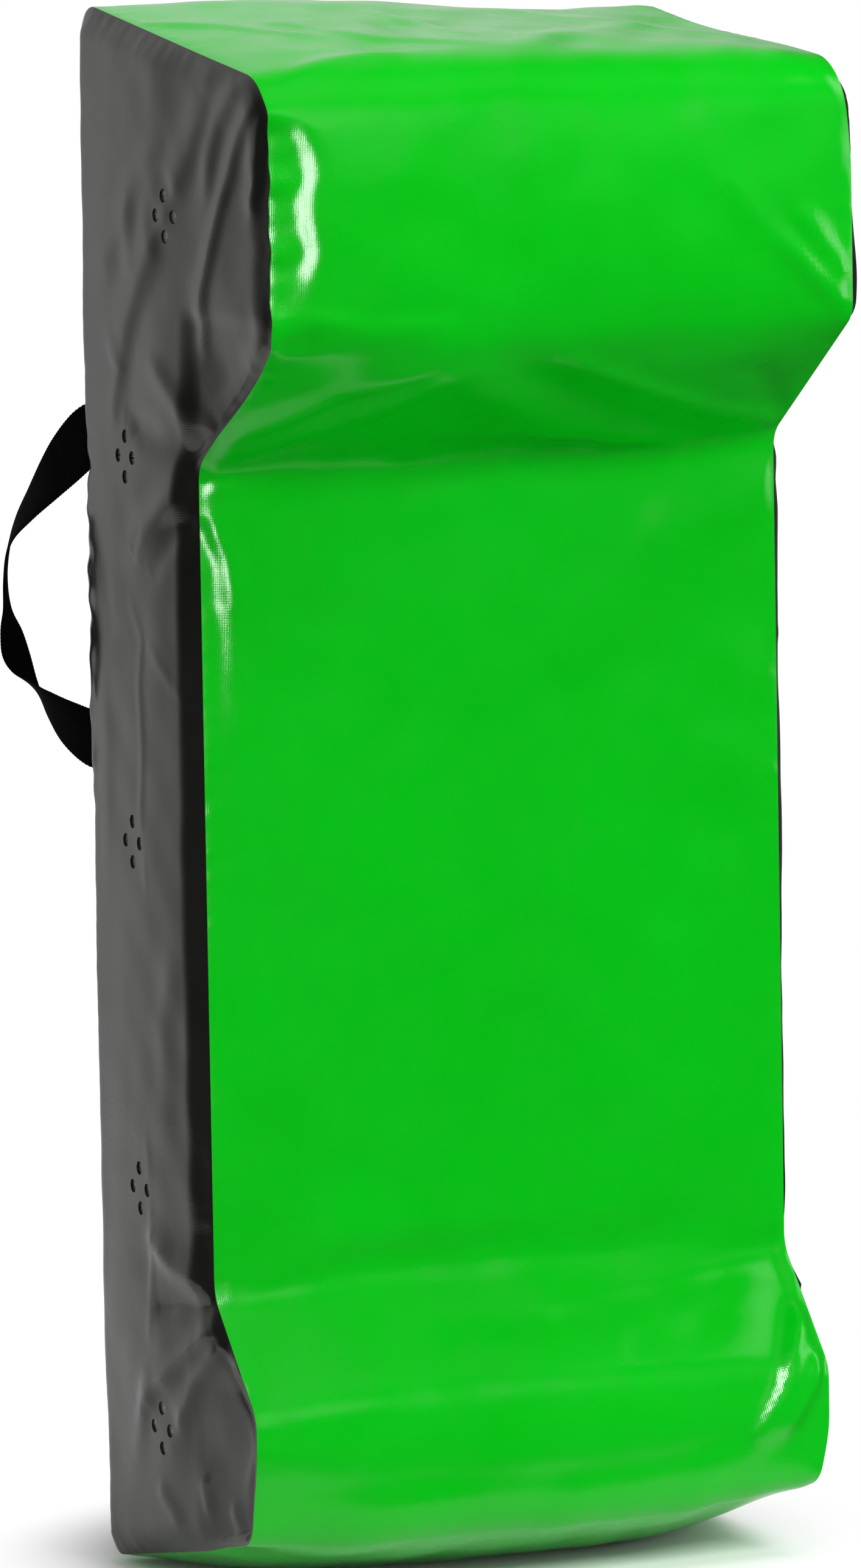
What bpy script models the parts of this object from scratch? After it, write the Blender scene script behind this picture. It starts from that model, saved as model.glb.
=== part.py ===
"""Tackle wedge: foam blocks in a sewn cover, with a back zip and two webbing handles.

Metres, +Z up. X runs across the pad, -Y is the struck face and +Y the back. The origin is on
the floor, on the middle plane, under the middle of the waist.
"""

import math

import bpy
import numpy as np
from mathutils import Vector

# Outline of the pad, seen from the side: the waist takes the height that the rest leaves

OVERALL_HEIGHT = 1.050
SEAM_WIDTH = 0.420
WAIST_DEPTH = 0.178
HEAD_OVERHANG = 0.120
FOOT_OVERHANG = 0.064
BASE_LIFT = 0.003
FOOT_RISE = 0.0425
FOOT_FACE = 0.0855
FOOT_SLOPE = 0.073
NECK_SLOPE = 0.087
HEAD_FACE = 0.170
TOP_RISE = 0.040

# Corner radii of the seam line

BACK_BOTTOM_RADIUS = 0.016
FOOT_BOTTOM_RADIUS = 0.014
FOOT_TOP_RADIUS = 0.022
WAIST_BOTTOM_RADIUS = 0.020
WAIST_TOP_RADIUS = 0.018
HEAD_BOTTOM_RADIUS = 0.018
HEAD_TOP_RADIUS = 0.028
BACK_TOP_RADIUS = 0.020
BACK_LAP = 0.026

# How far the filled panels stand out: at each corner, and again in the middle of each face

CROWN_BACK_BOTTOM = 0.008
CROWN_FOOT_BOTTOM = 0.008
CROWN_FOOT_TOP = 0.010
CROWN_WAIST_BOTTOM = 0.006
CROWN_WAIST_TOP = 0.005
CROWN_HEAD_BOTTOM = 0.011
CROWN_HEAD_TOP = 0.009
CROWN_BACK_TOP = 0.001
BULGE_BOTTOM = 0.0145
BULGE_FOOT = 0.002
BULGE_WAIST = 0.006
BULGE_HEAD = 0.004
BULGE_TOP = 0.003
CROWN_POWER = 4.0

GUSSET_EDGE_BULGE = 0.008
GUSSET_EDGE_DEPTH = 0.014
GUSSET_CROWN = 0.004
GUSSET_END_POWER = 6

# Cover and core

SHEET = 0.0007
CLEARANCE = 0.0003
SEAM_ROUNDING = 0.013
SLAB_THICKNESS = 0.060
CUT_OVERRUN = 0.020

# Vents: groups of four holes up each gusset. Shares are of the height, and of the depth there

VENT_RADIUS = 0.0042
VENT_HALF_HEIGHT = 0.0135
VENT_HALF_DEPTH = 0.012
VENT_HEIGHT_SHARES = (0.103, 0.253, 0.474, 0.718, 0.873)
VENT_DEPTH_SHARES = (0.48, 0.49, 0.49, 0.48, 0.52)

# Zip, up the middle of the back

SLOT_HALF_WIDTH = 0.0062
SLOT_LOWER_MARGIN = 0.081
SLOT_UPPER_MARGIN = 0.094
TAPE_WIDTH = 0.013
TAPE_THICKNESS = 0.0008
TAPE_END_LAP = 0.014
ROW_GAP = 0.0016
ROW_WIDTH = 0.003
ROW_THICKNESS = 0.0022
STOP_LENGTH = 0.005
ROW_END_INSET = 0.008
SLIDER_LENGTH = 0.022
SLIDER_WIDTH = 0.011
SLIDER_PLATE = 0.0012
SLIDER_POST = 0.001
LUG_HEIGHT = 0.0042
LUG_THICKNESS = 0.0012
LUG_GAP = 0.0064
LUG_LENGTH = 0.0034
PIN_RADIUS = 0.0008
PULL_LENGTH = 0.034
PULL_WIDTH = 0.010
PULL_THICKNESS = 0.0016
EYE_RADIUS = 0.0019
CHANNEL_DEPTH = 0.0056
END_PATCH_WIDTH = 0.046
END_PATCH_HEIGHT = 0.030
END_PATCH_OVERLAP = 0.004

# Handles: a webbing loop on each side of the back, sewn down at both ends

WEBBING_WIDTH = 0.040
WEBBING_THICKNESS = 0.0018
HANDLE_INSET = 0.015
HANDLE_MIDDLE_HEIGHT = 0.6585
HANDLE_SPAN = 0.211
HANDLE_REACH = 0.088
HANDLE_REST_DEG = 60.0
TAB_LENGTH = 0.045
TAB_OVERLAP = 0.0015
PATCH_WIDTH = 0.062
PATCH_HEIGHT = 0.058

# Mesh fineness, as counts

END_ARC_COUNT = 3
SPLIT_ARC_COUNT = 4
PLAIN_ARC_COUNT = 3
LAP_COUNT = 1
BASE_COUNT = 6
HEAD_COUNT = 2
WAIST_COUNT = 5
SLOPE_COUNT = 1
LOOP_COUNT = 3
ROUND_SIDES = 8

# Route of a handle's middle line, from its upper end to its lower end: share of the reach,
# share of the span that it has dropped, and the webbing's turn about its own line in degrees

LOOP_ROUTE_SHARES = (
    (0.000, 0.000, 0.0),
    (0.090, 0.006, 0.0),
    (0.215, 0.034, 4.0),
    (0.400, 0.102, 14.0),
    (0.570, 0.172, 28.0),
    (0.735, 0.246, 42.0),
    (0.885, 0.322, 52.0),
    (0.965, 0.398, 56.0),
    (1.000, 0.493, 56.0),
    (0.990, 0.590, 60.0),
    (0.955, 0.665, 74.0),
    (0.910, 0.742, 80.0),
    (0.830, 0.804, 72.0),
    (0.715, 0.852, 55.0),
    (0.600, 0.898, 40.0),
    (0.430, 0.948, 22.0),
    (0.225, 0.988, 6.0),
    (0.090, 0.999, 0.0),
    (0.000, 1.000, 0.0),
)

# Colours, as linear red, green and blue, with roughness and metallic

GREEN_PVC = ((0.0, 0.47, 0.003), 0.22, 0.0)
BLACK_PVC = ((0.012, 0.012, 0.011), 0.30, 0.0)
WEBBING_BLACK = ((0.008, 0.008, 0.008), 0.85, 0.0)
TAPE_BLACK = ((0.012, 0.012, 0.012), 0.9, 0.0)
COIL_BLACK = ((0.02, 0.02, 0.02), 0.4, 0.0)
NICKEL = ((0.42, 0.41, 0.39), 0.3, 1.0)
FOAM_TAN = ((0.42, 0.31, 0.21), 0.95, 0.0)
FOAM_GREY = ((0.16, 0.16, 0.17), 0.9, 0.0)

# Places that follow from the sizes

BACK_Y = WAIST_DEPTH / 2
WAIST_Y = BACK_Y - WAIST_DEPTH
HEAD_Y = WAIST_Y - HEAD_OVERHANG
FOOT_Y = WAIST_Y - FOOT_OVERHANG
FOOT_BOTTOM_Z = BASE_LIFT + FOOT_RISE
FOOT_TOP_Z = FOOT_BOTTOM_Z + FOOT_FACE
WAIST_BOTTOM_Z = FOOT_TOP_Z + FOOT_SLOPE
BACK_TOP_Z = OVERALL_HEIGHT
HEAD_TOP_Z = BACK_TOP_Z - TOP_RISE
HEAD_BOTTOM_Z = HEAD_TOP_Z - HEAD_FACE
WAIST_TOP_Z = HEAD_BOTTOM_Z - NECK_SLOPE
HALF_WIDTH = SEAM_WIDTH / 2
SLOT_BOTTOM = BASE_LIFT + BACK_LAP + SLOT_LOWER_MARGIN
SLOT_TOP = BACK_TOP_Z - BACK_LAP - SLOT_UPPER_MARGIN


def material(name, finish):
    """A plain material with the finish's colour, roughness and metallic value."""
    colour, roughness, metallic = finish
    made = bpy.data.materials.get(name) or bpy.data.materials.new(name)
    made.use_nodes = True
    shader = made.node_tree.nodes["Principled BSDF"]
    shader.inputs["Base Color"].default_value = (*colour, 1.0)
    shader.inputs["Roughness"].default_value = roughness
    shader.inputs["Metallic"].default_value = metallic
    return made


def mesh_object(name, points, faces, finish=None, smooth=False):
    """An object of these points and faces, with its faces turned outwards."""
    mesh = bpy.data.meshes.new(name)
    mesh.from_pydata([tuple(p) for p in points], [], [tuple(f) for f in faces])
    obj = bpy.data.objects.new(name, mesh)
    bpy.context.scene.collection.objects.link(obj)
    bpy.context.view_layer.objects.active = obj
    bpy.ops.object.select_all(action="DESELECT")
    obj.select_set(True)
    bpy.ops.object.mode_set(mode="EDIT")
    bpy.ops.mesh.select_all(action="SELECT")
    bpy.ops.mesh.normals_make_consistent(inside=False)
    bpy.ops.object.mode_set(mode="OBJECT")
    if smooth:
        mesh.shade_smooth()
        mesh.set_sharp_from_angle(angle=math.radians(35))
    if finish:
        label, values = finish
        mesh.materials.append(material(label, values))
    return obj


def box(name, low, high, finish=None):
    """A box between two corners, with its origin in its middle."""
    low, high = Vector(low), Vector(high)
    middle = (low + high) / 2
    half = (high - low) / 2
    corners = [
        Vector((half.x * sx, half.y * sy, half.z * sz))
        for sx in (-1, 1) for sy in (-1, 1) for sz in (-1, 1)
    ]
    faces = [(0, 1, 3, 2), (4, 6, 7, 5), (0, 4, 5, 1), (2, 3, 7, 6), (0, 2, 6, 4), (1, 5, 7, 3)]
    obj = mesh_object(name, corners, faces, finish)
    obj.location = middle
    return obj


def hide(obj):
    """Keeps a cutter out of the model."""
    obj.hide_render = True
    obj.display_type = "WIRE"
    return obj


def boolean(obj, cutter, operation):
    """Cuts the object by the cutter, or keeps what they share."""
    step = obj.modifiers.new(cutter.name, "BOOLEAN")
    step.operation = operation
    step.solver = "EXACT"
    step.object = cutter
    return obj


def bevel(obj, width, segments=1):
    """Rounds the object's sharp edges."""
    step = obj.modifiers.new("edges", "BEVEL")
    step.width = width
    step.segments = segments
    step.limit_method = "ANGLE"
    return obj


# The seam line, in side view, from the back's lower seam round the front to its upper seam

def profile_corners():
    """Corners of the seam line: place, radius, arc steps, crown, and the run that follows."""
    end, split, plain = END_ARC_COUNT, SPLIT_ARC_COUNT, PLAIN_ARC_COUNT
    return (
        ((BACK_Y, BASE_LIFT), BACK_BOTTOM_RADIUS, end, CROWN_BACK_BOTTOM, BASE_COUNT, BULGE_BOTTOM),
        ((FOOT_Y, FOOT_BOTTOM_Z), FOOT_BOTTOM_RADIUS, split, CROWN_FOOT_BOTTOM, SLOPE_COUNT, BULGE_FOOT),
        ((FOOT_Y, FOOT_TOP_Z), FOOT_TOP_RADIUS, plain, CROWN_FOOT_TOP, SLOPE_COUNT, 0.0),
        ((WAIST_Y, WAIST_BOTTOM_Z), WAIST_BOTTOM_RADIUS, plain, CROWN_WAIST_BOTTOM, WAIST_COUNT, BULGE_WAIST),
        ((WAIST_Y, WAIST_TOP_Z), WAIST_TOP_RADIUS, plain, CROWN_WAIST_TOP, SLOPE_COUNT, 0.0),
        ((HEAD_Y, HEAD_BOTTOM_Z), HEAD_BOTTOM_RADIUS, plain, CROWN_HEAD_BOTTOM, HEAD_COUNT, BULGE_HEAD),
        ((HEAD_Y, HEAD_TOP_Z), HEAD_TOP_RADIUS, split, CROWN_HEAD_TOP, BASE_COUNT, BULGE_TOP),
        ((BACK_Y, BACK_TOP_Z), BACK_TOP_RADIUS, end, CROWN_BACK_TOP, LAP_COUNT, 0.0),
    )


def rounded_corner(before, corner, after, radius, steps):
    """Points of the arc that rounds a corner, from its first tangent point to its last."""
    corner = np.array(corner)
    into = corner - np.array(before)
    out = np.array(after) - corner
    into /= np.linalg.norm(into)
    out /= np.linalg.norm(out)
    turn = math.atan2(into[0] * out[1] - into[1] * out[0], float(into @ out))
    reach = radius * math.tan(abs(turn) / 2)
    side = np.array((-into[1], into[0])) * math.copysign(1.0, turn)
    centre = corner - into * reach + side * radius
    points = []
    for step in range(steps + 1):
        angle = abs(turn) * step / steps
        points.append(centre - side * radius * math.cos(angle) + into * radius * math.sin(angle))
    return points


def seam_path():
    """The seam line's points (y, z), and how far the panel's middle stands out at each."""
    corners = profile_corners()
    start = np.array((BACK_Y, BASE_LIFT + BACK_LAP))
    finish = np.array((BACK_Y, BACK_TOP_Z - BACK_LAP))
    stops = [start] + [np.array(c[0]) for c in corners] + [finish]
    points, crowns = [start], [0.0]
    for index, (place, radius, steps, crown, run, bulge) in enumerate(corners):
        arc = rounded_corner(stops[index], place, stops[index + 2], radius, steps)
        points += arc
        shares = np.linspace(0 if index == 0 else 1, 0 if index + 1 == len(corners) else 1, len(arc))
        crowns += list(shares * crown)
        if index + 1 < len(corners):
            following = corners[index + 1]
            target = rounded_corner(place, following[0], stops[index + 3], following[1], following[2])[0]
            next_crown = following[3]
        else:
            target, next_crown = finish, 0.0
        for step in range(1, run):
            share = step / run
            points.append(arc[-1] + (target - arc[-1]) * share)
            crowns.append(crown + (next_crown - crown) * share + bulge * 4 * share * (1 - share))
    points.append(finish)
    crowns.append(0.0)
    return np.array(points), np.array(crowns)


def outward_normals(points):
    """Outward direction of the seam line at each point, in side view."""
    steps = np.diff(points, axis=0)
    steps /= np.linalg.norm(steps, axis=1)[:, None]
    tangents = np.vstack([steps[:1], steps[:-1] + steps[1:], steps[-1:]])
    tangents /= np.linalg.norm(tangents, axis=1)[:, None]
    return np.column_stack([-tangents[:, 1], tangents[:, 0]])


def column_places():
    """Places across the pad where the strip and the back have their points."""
    inner = HALF_WIDTH - SEAM_ROUNDING
    half = [SLOT_HALF_WIDTH, SLOT_HALF_WIDTH + (inner - SLOT_HALF_WIDTH) / 2, inner, HALF_WIDTH]
    return [-x for x in reversed(half)] + half


class Surface:
    """The pad's whole outer surface: its points, and the faces of each cover panel."""

    def __init__(self):
        self.points = []
        self.index = {}
        self.faces = {"front": [], "left": [], "right": [], "back": [], "slot": []}
        self.path, self.crowns = seam_path()
        self.directions = outward_normals(self.path)
        self.columns = column_places()
        across = END_ARC_COUNT + LAP_COUNT + BASE_COUNT + SPLIT_ARC_COUNT // 2
        self.rows_across = across
        self.rows_up = len(self.path) - 1 - 2 * across
        self.make_front()
        self.make_back()
        for name, side in (("left", -1), ("right", 1)):
            self.make_gusset(name, side)
        self.normals = self.point_normals()

    def seam_places(self):
        """Where the front panel's long seams run, lifted to the floor where it lies on it."""
        return [(y, max(z, 0.0)) for y, z in self.path]

    def at(self, place):
        """The number of the point at this place."""
        key = tuple(round(value * 1e6) for value in place)
        if key not in self.index:
            self.index[key] = len(self.points)
            self.points.append(np.array(place, float))
        return self.index[key]

    def patch(self, name, a, b, c, d):
        """Adds a four-sided face to a panel as two triangles, split along its shorter diagonal."""
        first = np.linalg.norm(self.points[c] - self.points[a])
        second = np.linalg.norm(self.points[d] - self.points[b])
        if first < second - CLEARANCE:
            self.faces[name] += [(a, b, c), (a, c, d)]
        else:
            self.faces[name] += [(a, b, d), (b, c, d)]

    def grid(self, name, rows):
        """Adds the faces between rows of point numbers."""
        for low, high in zip(rows, rows[1:]):
            for step in range(len(low) - 1):
                self.patch(name, low[step], low[step + 1], high[step + 1], high[step])

    def make_front(self):
        """The long panel over the top, the struck face and the bottom, crowned and flat on the floor."""
        rows = []
        for (y, z), (out_y, out_z), crown in zip(self.path, self.directions, self.crowns):
            row = []
            for x in self.columns:
                lift = crown * (1 - abs(x / HALF_WIDTH) ** CROWN_POWER)
                row.append(self.at((x, y + out_y * lift, max(z + out_z * lift, 0.0))))
            rows.append(row)
        self.grid("front", rows)

    def back_heights(self):
        """Heights of the back's rows, with one at each end of the zip's slot."""
        front = self.path[self.rows_across : self.rows_across + self.rows_up + 1, 1]
        shares = (front - front[0]) / (front[-1] - front[0])
        low, high = self.path[0, 1], self.path[-1, 1]
        heights = low + shares * (high - low)
        for end in (SLOT_BOTTOM, SLOT_TOP):
            nearest = 1 + int(np.argmin(abs(heights[1:-1] - end)))
            heights[nearest] = end
        return heights

    def make_back(self):
        """The flat back panel, open along the zip's slot."""
        heights = self.back_heights()
        rows = [[self.at((x, BACK_Y, z)) for x in self.columns] for z in heights]
        middle = len(self.columns) // 2 - 1
        for index, (low, high) in enumerate(zip(rows, rows[1:])):
            inside = SLOT_BOTTOM <= (heights[index] + heights[index + 1]) / 2 <= SLOT_TOP
            for step in range(len(low) - 1):
                name = "slot" if inside and step == middle else "back"
                self.patch(name, low[step], low[step + 1], high[step + 1], high[step])

    def make_gusset(self, name, side):
        """A side panel: it rounds away from its seams and swells a little in the middle."""
        across, up = self.rows_across, self.rows_up
        places = np.array(self.seam_places())
        bottom = places[: across + 1]
        front = places[across : across + up + 1]
        top = places[across + up :][::-1]
        back = np.column_stack([np.full(up + 1, BACK_Y), self.back_heights()])
        outline = np.vstack([places, back[::-1]])
        run_low, run_high = arc_shares(bottom)[:, None], arc_shares(top)[:, None]
        bend_low = bottom - (bottom[0] + (bottom[-1] - bottom[0]) * run_low)
        bend_high = top - (top[0] + (top[-1] - top[0]) * run_high)
        heights = (front[:, 1] - front[0, 1]) / (front[-1, 1] - front[0, 1])
        rows = []
        for i in range(up + 1):
            v = heights[i]
            row = []
            for j in range(across + 1):
                u = (1 - v) * run_low[j, 0] + v * run_high[j, 0]
                low_share, high_share = (1 - v) ** GUSSET_END_POWER, v**GUSSET_END_POWER
                bend = low_share * bend_low[j] + high_share * bend_high[j]
                y, z = back[i] + (front[i] - back[i]) * u + bend
                edge = i in (0, up) or j in (0, across)
                depth = 0.0 if edge else distance_to(outline, (y, z))
                near = 1 - min(depth / GUSSET_EDGE_DEPTH, 1.0)
                swell = GUSSET_CROWN * (1 - (2 * u - 1) ** 2) * (1 - (2 * v - 1) ** 8)
                out = 0.0 if edge else GUSSET_EDGE_BULGE * math.sqrt(1 - near * near) + swell
                row.append(self.at((side * (HALF_WIDTH + out), y, z)))
            rows.append(row)
        self.grid(name, rows)

    def point_normals(self):
        """Outward normal at each point, long enough that an offset by one keeps each face's wall."""
        centre = np.array((0.0, 0.0, (BASE_LIFT + BACK_TOP_Z) / 2))
        around = [[] for _ in self.points]
        for name, faces in self.faces.items():
            for face in faces:
                a, b, c = (self.points[i] for i in face)
                normal = unit(np.cross(b - a, c - a))
                outwards = {
                    "left": np.array((-1.0, 0.0, 0.0)),
                    "right": np.array((1.0, 0.0, 0.0)),
                }.get(name)
                if outwards is None:
                    outwards = self.facing(name, (a + b + c) / 3 - centre)
                if normal @ outwards < 0:
                    normal = -normal
                for i in face:
                    around[i].append(normal)
        result = []
        for normals in around:
            mean = np.sum(normals, axis=0)
            mean /= np.linalg.norm(mean)
            least = max(min(float(mean @ n) for n in normals), 0.5)
            result.append(mean / least)
        return result

    def facing(self, name, place):
        """A direction that points out of the pad at a face of the front or back panel."""
        if name in ("back", "slot"):
            return np.array((0.0, 1.0, 0.0))
        middle = np.array((place[1], place[2])) + np.array((0.0, (BASE_LIFT + BACK_TOP_Z) / 2))
        nearest = int(np.argmin(np.linalg.norm(self.path - middle, axis=1)))
        out_y, out_z = self.directions[nearest]
        return np.array((0.0, out_y, out_z))


def arc_shares(points):
    """How far along the line each point lies, from 0 to 1."""
    lengths = np.concatenate([[0.0], np.cumsum(np.linalg.norm(np.diff(points, axis=0), axis=1))])
    return lengths / lengths[-1]


def distance_to(outline, place):
    """Distance from a place to a closed outline."""
    place = np.array(place)
    ends = np.roll(outline, -1, axis=0)
    along = ends - outline
    lengths = np.maximum((along**2).sum(axis=1), 1e-12)
    shares = np.clip(((place - outline) * along).sum(axis=1) / lengths, 0, 1)
    nearest = outline + along * shares[:, None]
    return float(np.min(np.linalg.norm(nearest - place, axis=1)))


def unit(vector):
    """The vector at length 1."""
    return vector / np.linalg.norm(vector)


def border_ways(surface, faces):
    """For each border edge of a panel, the direction into the panel, square to the edge."""
    owners = {}
    for face in faces:
        for a, b in zip(face, face[1:] + face[:1]):
            owners.setdefault((min(a, b), max(a, b)), []).append(face)
    ways = {}
    for (a, b), found in owners.items():
        if len(found) == 1:
            start = surface.points[a]
            along = unit(surface.points[b] - start)
            away = np.mean([surface.points[i] for i in found[0]], axis=0) - start
            ways[(a, b)] = unit(away - along * float(away @ along))
    return ways


def cover_panel(name, surface, part, finish):
    """A cover panel as a thin closed sheet, mitred against its neighbours along every seam."""
    faces = surface.faces[part]
    border = border_ways(surface, faces)
    numbers = sorted({i for face in faces for i in face})
    outside = []
    for i in numbers:
        place = surface.points[i]
        ways = [way for edge, way in border.items() if i in edge]
        if ways:
            away = unit(np.sum(ways, axis=0))
            place = place + away * (CLEARANCE / 2 / float(away @ ways[0]))
        outside.append(place)
    inside = [place - surface.normals[i] * SHEET for i, place in zip(numbers, outside)]
    outer = {i: index for index, i in enumerate(numbers)}
    inner = {i: index + len(numbers) for index, i in enumerate(numbers)}
    quads = []
    for face in faces:
        quads.append(tuple(outer[i] for i in face))
        quads.append(tuple(inner[i] for i in reversed(face)))
    quads += [(outer[a], outer[b], inner[b], inner[a]) for a, b in border]
    return mesh_object(name, outside + inside, quads, finish, smooth=True)


def foam_block(name, surface, low, high, finish):
    """The part of the filling that lies between two corners of a box."""
    depth = SHEET + CLEARANCE
    points = [place - normal * depth for place, normal in zip(surface.points, surface.normals)]
    faces = [face for group in surface.faces.values() for face in group]
    block = mesh_object(name, points, faces, finish, smooth=True)
    region = hide(box(f"{name}_region", low, high))
    return boolean(block, region, "INTERSECT")


def add_foam(surface):
    """Four foam pieces: a firm full-height slab at the back, and three soft blocks before it."""
    wide = HALF_WIDTH + GUSSET_EDGE_BULGE + GUSSET_CROWN + CUT_OVERRUN
    front = HEAD_Y - CUT_OVERRUN
    behind = BACK_Y + CUT_OVERRUN
    top = BACK_TOP_Z + CUT_OVERRUN
    slab_front = BACK_Y - SLAB_THICKNESS
    block_back = slab_front - CLEARANCE
    grey, tan = ("foam_grey", FOAM_GREY), ("foam_tan", FOAM_TAN)
    slab = foam_block("foam_back_slab", surface, (-wide, slab_front, -CUT_OVERRUN), (wide, behind, top), grey)
    channel_half = SLOT_HALF_WIDTH + TAPE_WIDTH + CLEARANCE
    channel = box(
        "zip_channel",
        (-channel_half, BACK_Y - CHANNEL_DEPTH, SLOT_BOTTOM - TAPE_END_LAP - CLEARANCE),
        (channel_half, behind, SLOT_TOP + TAPE_END_LAP + CLEARANCE),
    )
    boolean(slab, hide(channel), "DIFFERENCE")
    foam_block(
        "foam_foot_block", surface,
        (-wide, front, -CUT_OVERRUN), (wide, block_back, WAIST_BOTTOM_Z), tan,
    )
    foam_block(
        "foam_waist_block", surface,
        (-wide, front, WAIST_BOTTOM_Z + CLEARANCE), (wide, block_back, WAIST_TOP_Z - CLEARANCE), tan,
    )
    foam_block("foam_head_block", surface, (-wide, front, WAIST_TOP_Z), (wide, block_back, top), tan)


def front_at(height, path):
    """The seam line's front place at a height, where the gusset ends."""
    front = [p for p in path if p[0] < BACK_Y - SLAB_THICKNESS]
    heights = [p[1] for p in front]
    first, last = int(np.argmin(heights)), int(np.argmax(heights))
    run = front[first : last + 1]
    return float(np.interp(height, [p[1] for p in run], [p[0] for p in run]))


def vent_cutter(name, side, path):
    """All of a gusset's vent holes as one cutter of separate round bars."""
    points, faces = [], []
    inner = side * (HALF_WIDTH - SEAM_ROUNDING)
    outer = side * (HALF_WIDTH + GUSSET_EDGE_BULGE + GUSSET_CROWN + CUT_OVERRUN)
    for height_share, depth_share in zip(VENT_HEIGHT_SHARES, VENT_DEPTH_SHARES):
        height = OVERALL_HEIGHT * height_share
        middle = BACK_Y + (front_at(height, path) - BACK_Y) * depth_share
        for step_y, step_z in ((0, 1), (0, -1), (1, 0), (-1, 0)):
            y = middle + step_y * VENT_HALF_DEPTH
            z = height + step_z * VENT_HALF_HEIGHT
            first = len(points)
            for x in (inner, outer):
                for turn in range(ROUND_SIDES):
                    angle = 2 * math.pi * turn / ROUND_SIDES
                    points.append((x, y + VENT_RADIUS * math.cos(angle), z + VENT_RADIUS * math.sin(angle)))
            ring = range(ROUND_SIDES)
            for turn in ring:
                after = (turn + 1) % ROUND_SIDES
                faces.append((
                    first + turn, first + after,
                    first + ROUND_SIDES + after, first + ROUND_SIDES + turn,
                ))
            faces.append(tuple(first + turn for turn in ring))
            faces.append(tuple(first + ROUND_SIDES + turn for turn in ring))
    return hide(mesh_object(name, points, faces))


def add_cover(surface):
    """The four cover panels, with the vents through both gussets."""
    green, black = ("green_pvc", GREEN_PVC), ("black_pvc", BLACK_PVC)
    cover_panel("cover_front_panel", surface, "front", green)
    cover_panel("cover_back_panel", surface, "back", black)
    for name, side in (("left", -1), ("right", 1)):
        gusset = cover_panel(f"cover_gusset_{name}", surface, name, black)
        boolean(gusset, vent_cutter(f"vents_{name}", side, surface.path), "DIFFERENCE")


def add_zip():
    """The zip: two tapes and two rows behind the slot, stops, the slider and its pull."""
    tape_face = BACK_Y - SHEET - CLEARANCE
    row_middle = tape_face - TAPE_THICKNESS / 2
    row_inner = ROW_GAP / 2
    row_outer = row_inner + ROW_WIDTH
    row_low = SLOT_BOTTOM + ROW_END_INSET
    row_high = SLOT_TOP - ROW_END_INSET
    tape_inner = row_outer + CLEARANCE
    tape_outer = SLOT_HALF_WIDTH + TAPE_WIDTH
    row_back = row_middle - ROW_THICKNESS / 2
    row_front = row_middle + ROW_THICKNESS / 2
    for name, side in (("left", -1), ("right", 1)):
        tape_sides = sorted((side * tape_inner, side * tape_outer))
        row_sides = sorted((side * row_inner, side * row_outer))
        box(
            f"zip_tape_{name}",
            (tape_sides[0], tape_face - TAPE_THICKNESS, SLOT_BOTTOM - TAPE_END_LAP),
            (tape_sides[1], tape_face, SLOT_TOP + TAPE_END_LAP),
            ("tape_black", TAPE_BLACK),
        )
        row = box(
            f"zip_row_{name}", (row_sides[0], row_back, row_low), (row_sides[1], row_front, row_high),
            ("coil_black", COIL_BLACK),
        )
        bevel(row, ROW_THICKNESS / 4)
    for name, low in (
        ("zip_stop_lower", row_low - CLEARANCE - STOP_LENGTH),
        ("zip_stop_upper", row_high + CLEARANCE),
    ):
        stop = box(
            name, (-row_outer, row_back, low), (row_outer, row_front, low + STOP_LENGTH), ("nickel", NICKEL)
        )
        bevel(stop, ROW_THICKNESS / 5)
    add_slider(row_low + SLIDER_LENGTH / 2, row_back, row_front)


def slider_section(row_back, row_front):
    """The slider's section: two plates joined by a post that runs between the rows."""
    half, post = SLIDER_WIDTH / 2, SLIDER_POST / 2
    inner_top = row_front + CLEARANCE
    outer_top = inner_top + SLIDER_PLATE
    inner_low = row_back - CLEARANCE
    outer_low = inner_low - SLIDER_PLATE
    right = [(half, outer_low), (half, inner_low), (post, inner_low), (post, inner_top),
             (half, inner_top), (half, outer_top)]
    return right + [(-x, y) for x, y in reversed(right)]


def add_slider(middle, row_back, row_front):
    """The slider with the two ears and the pin that carry the pull, and the pull hanging from it."""
    section = slider_section(row_back, row_front)
    count = len(section)
    points = [(x, y, z) for z in (middle - SLIDER_LENGTH / 2, middle + SLIDER_LENGTH / 2) for x, y in section]
    faces = [(i, (i + 1) % count, count + (i + 1) % count, count + i) for i in range(count)]
    faces += [tuple(range(count)), tuple(range(count, 2 * count))]
    slider = mesh_object("zip_slider", points, faces, ("nickel", NICKEL))
    plate_top = row_front + CLEARANCE + SLIDER_PLATE
    pin_y = plate_top + LUG_HEIGHT - LUG_LENGTH / 2
    sink = SLIDER_PLATE / 2
    for name, side in (("left", -1), ("right", 1)):
        inner = side * LUG_GAP / 2
        outer = side * (LUG_GAP / 2 + LUG_THICKNESS)
        ear = box(
            f"slider_ear_{name}",
            (min(inner, outer), plate_top - sink, middle - LUG_LENGTH / 2),
            (max(inner, outer), plate_top + LUG_HEIGHT, middle + LUG_LENGTH / 2),
        )
        boolean(slider, hide(ear), "UNION")
    pin = round_bar("slider_pin", (0, pin_y, middle), PIN_RADIUS, LUG_GAP + LUG_THICKNESS)
    boolean(slider, hide(pin), "UNION")
    add_pull(middle, pin_y)


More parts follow.
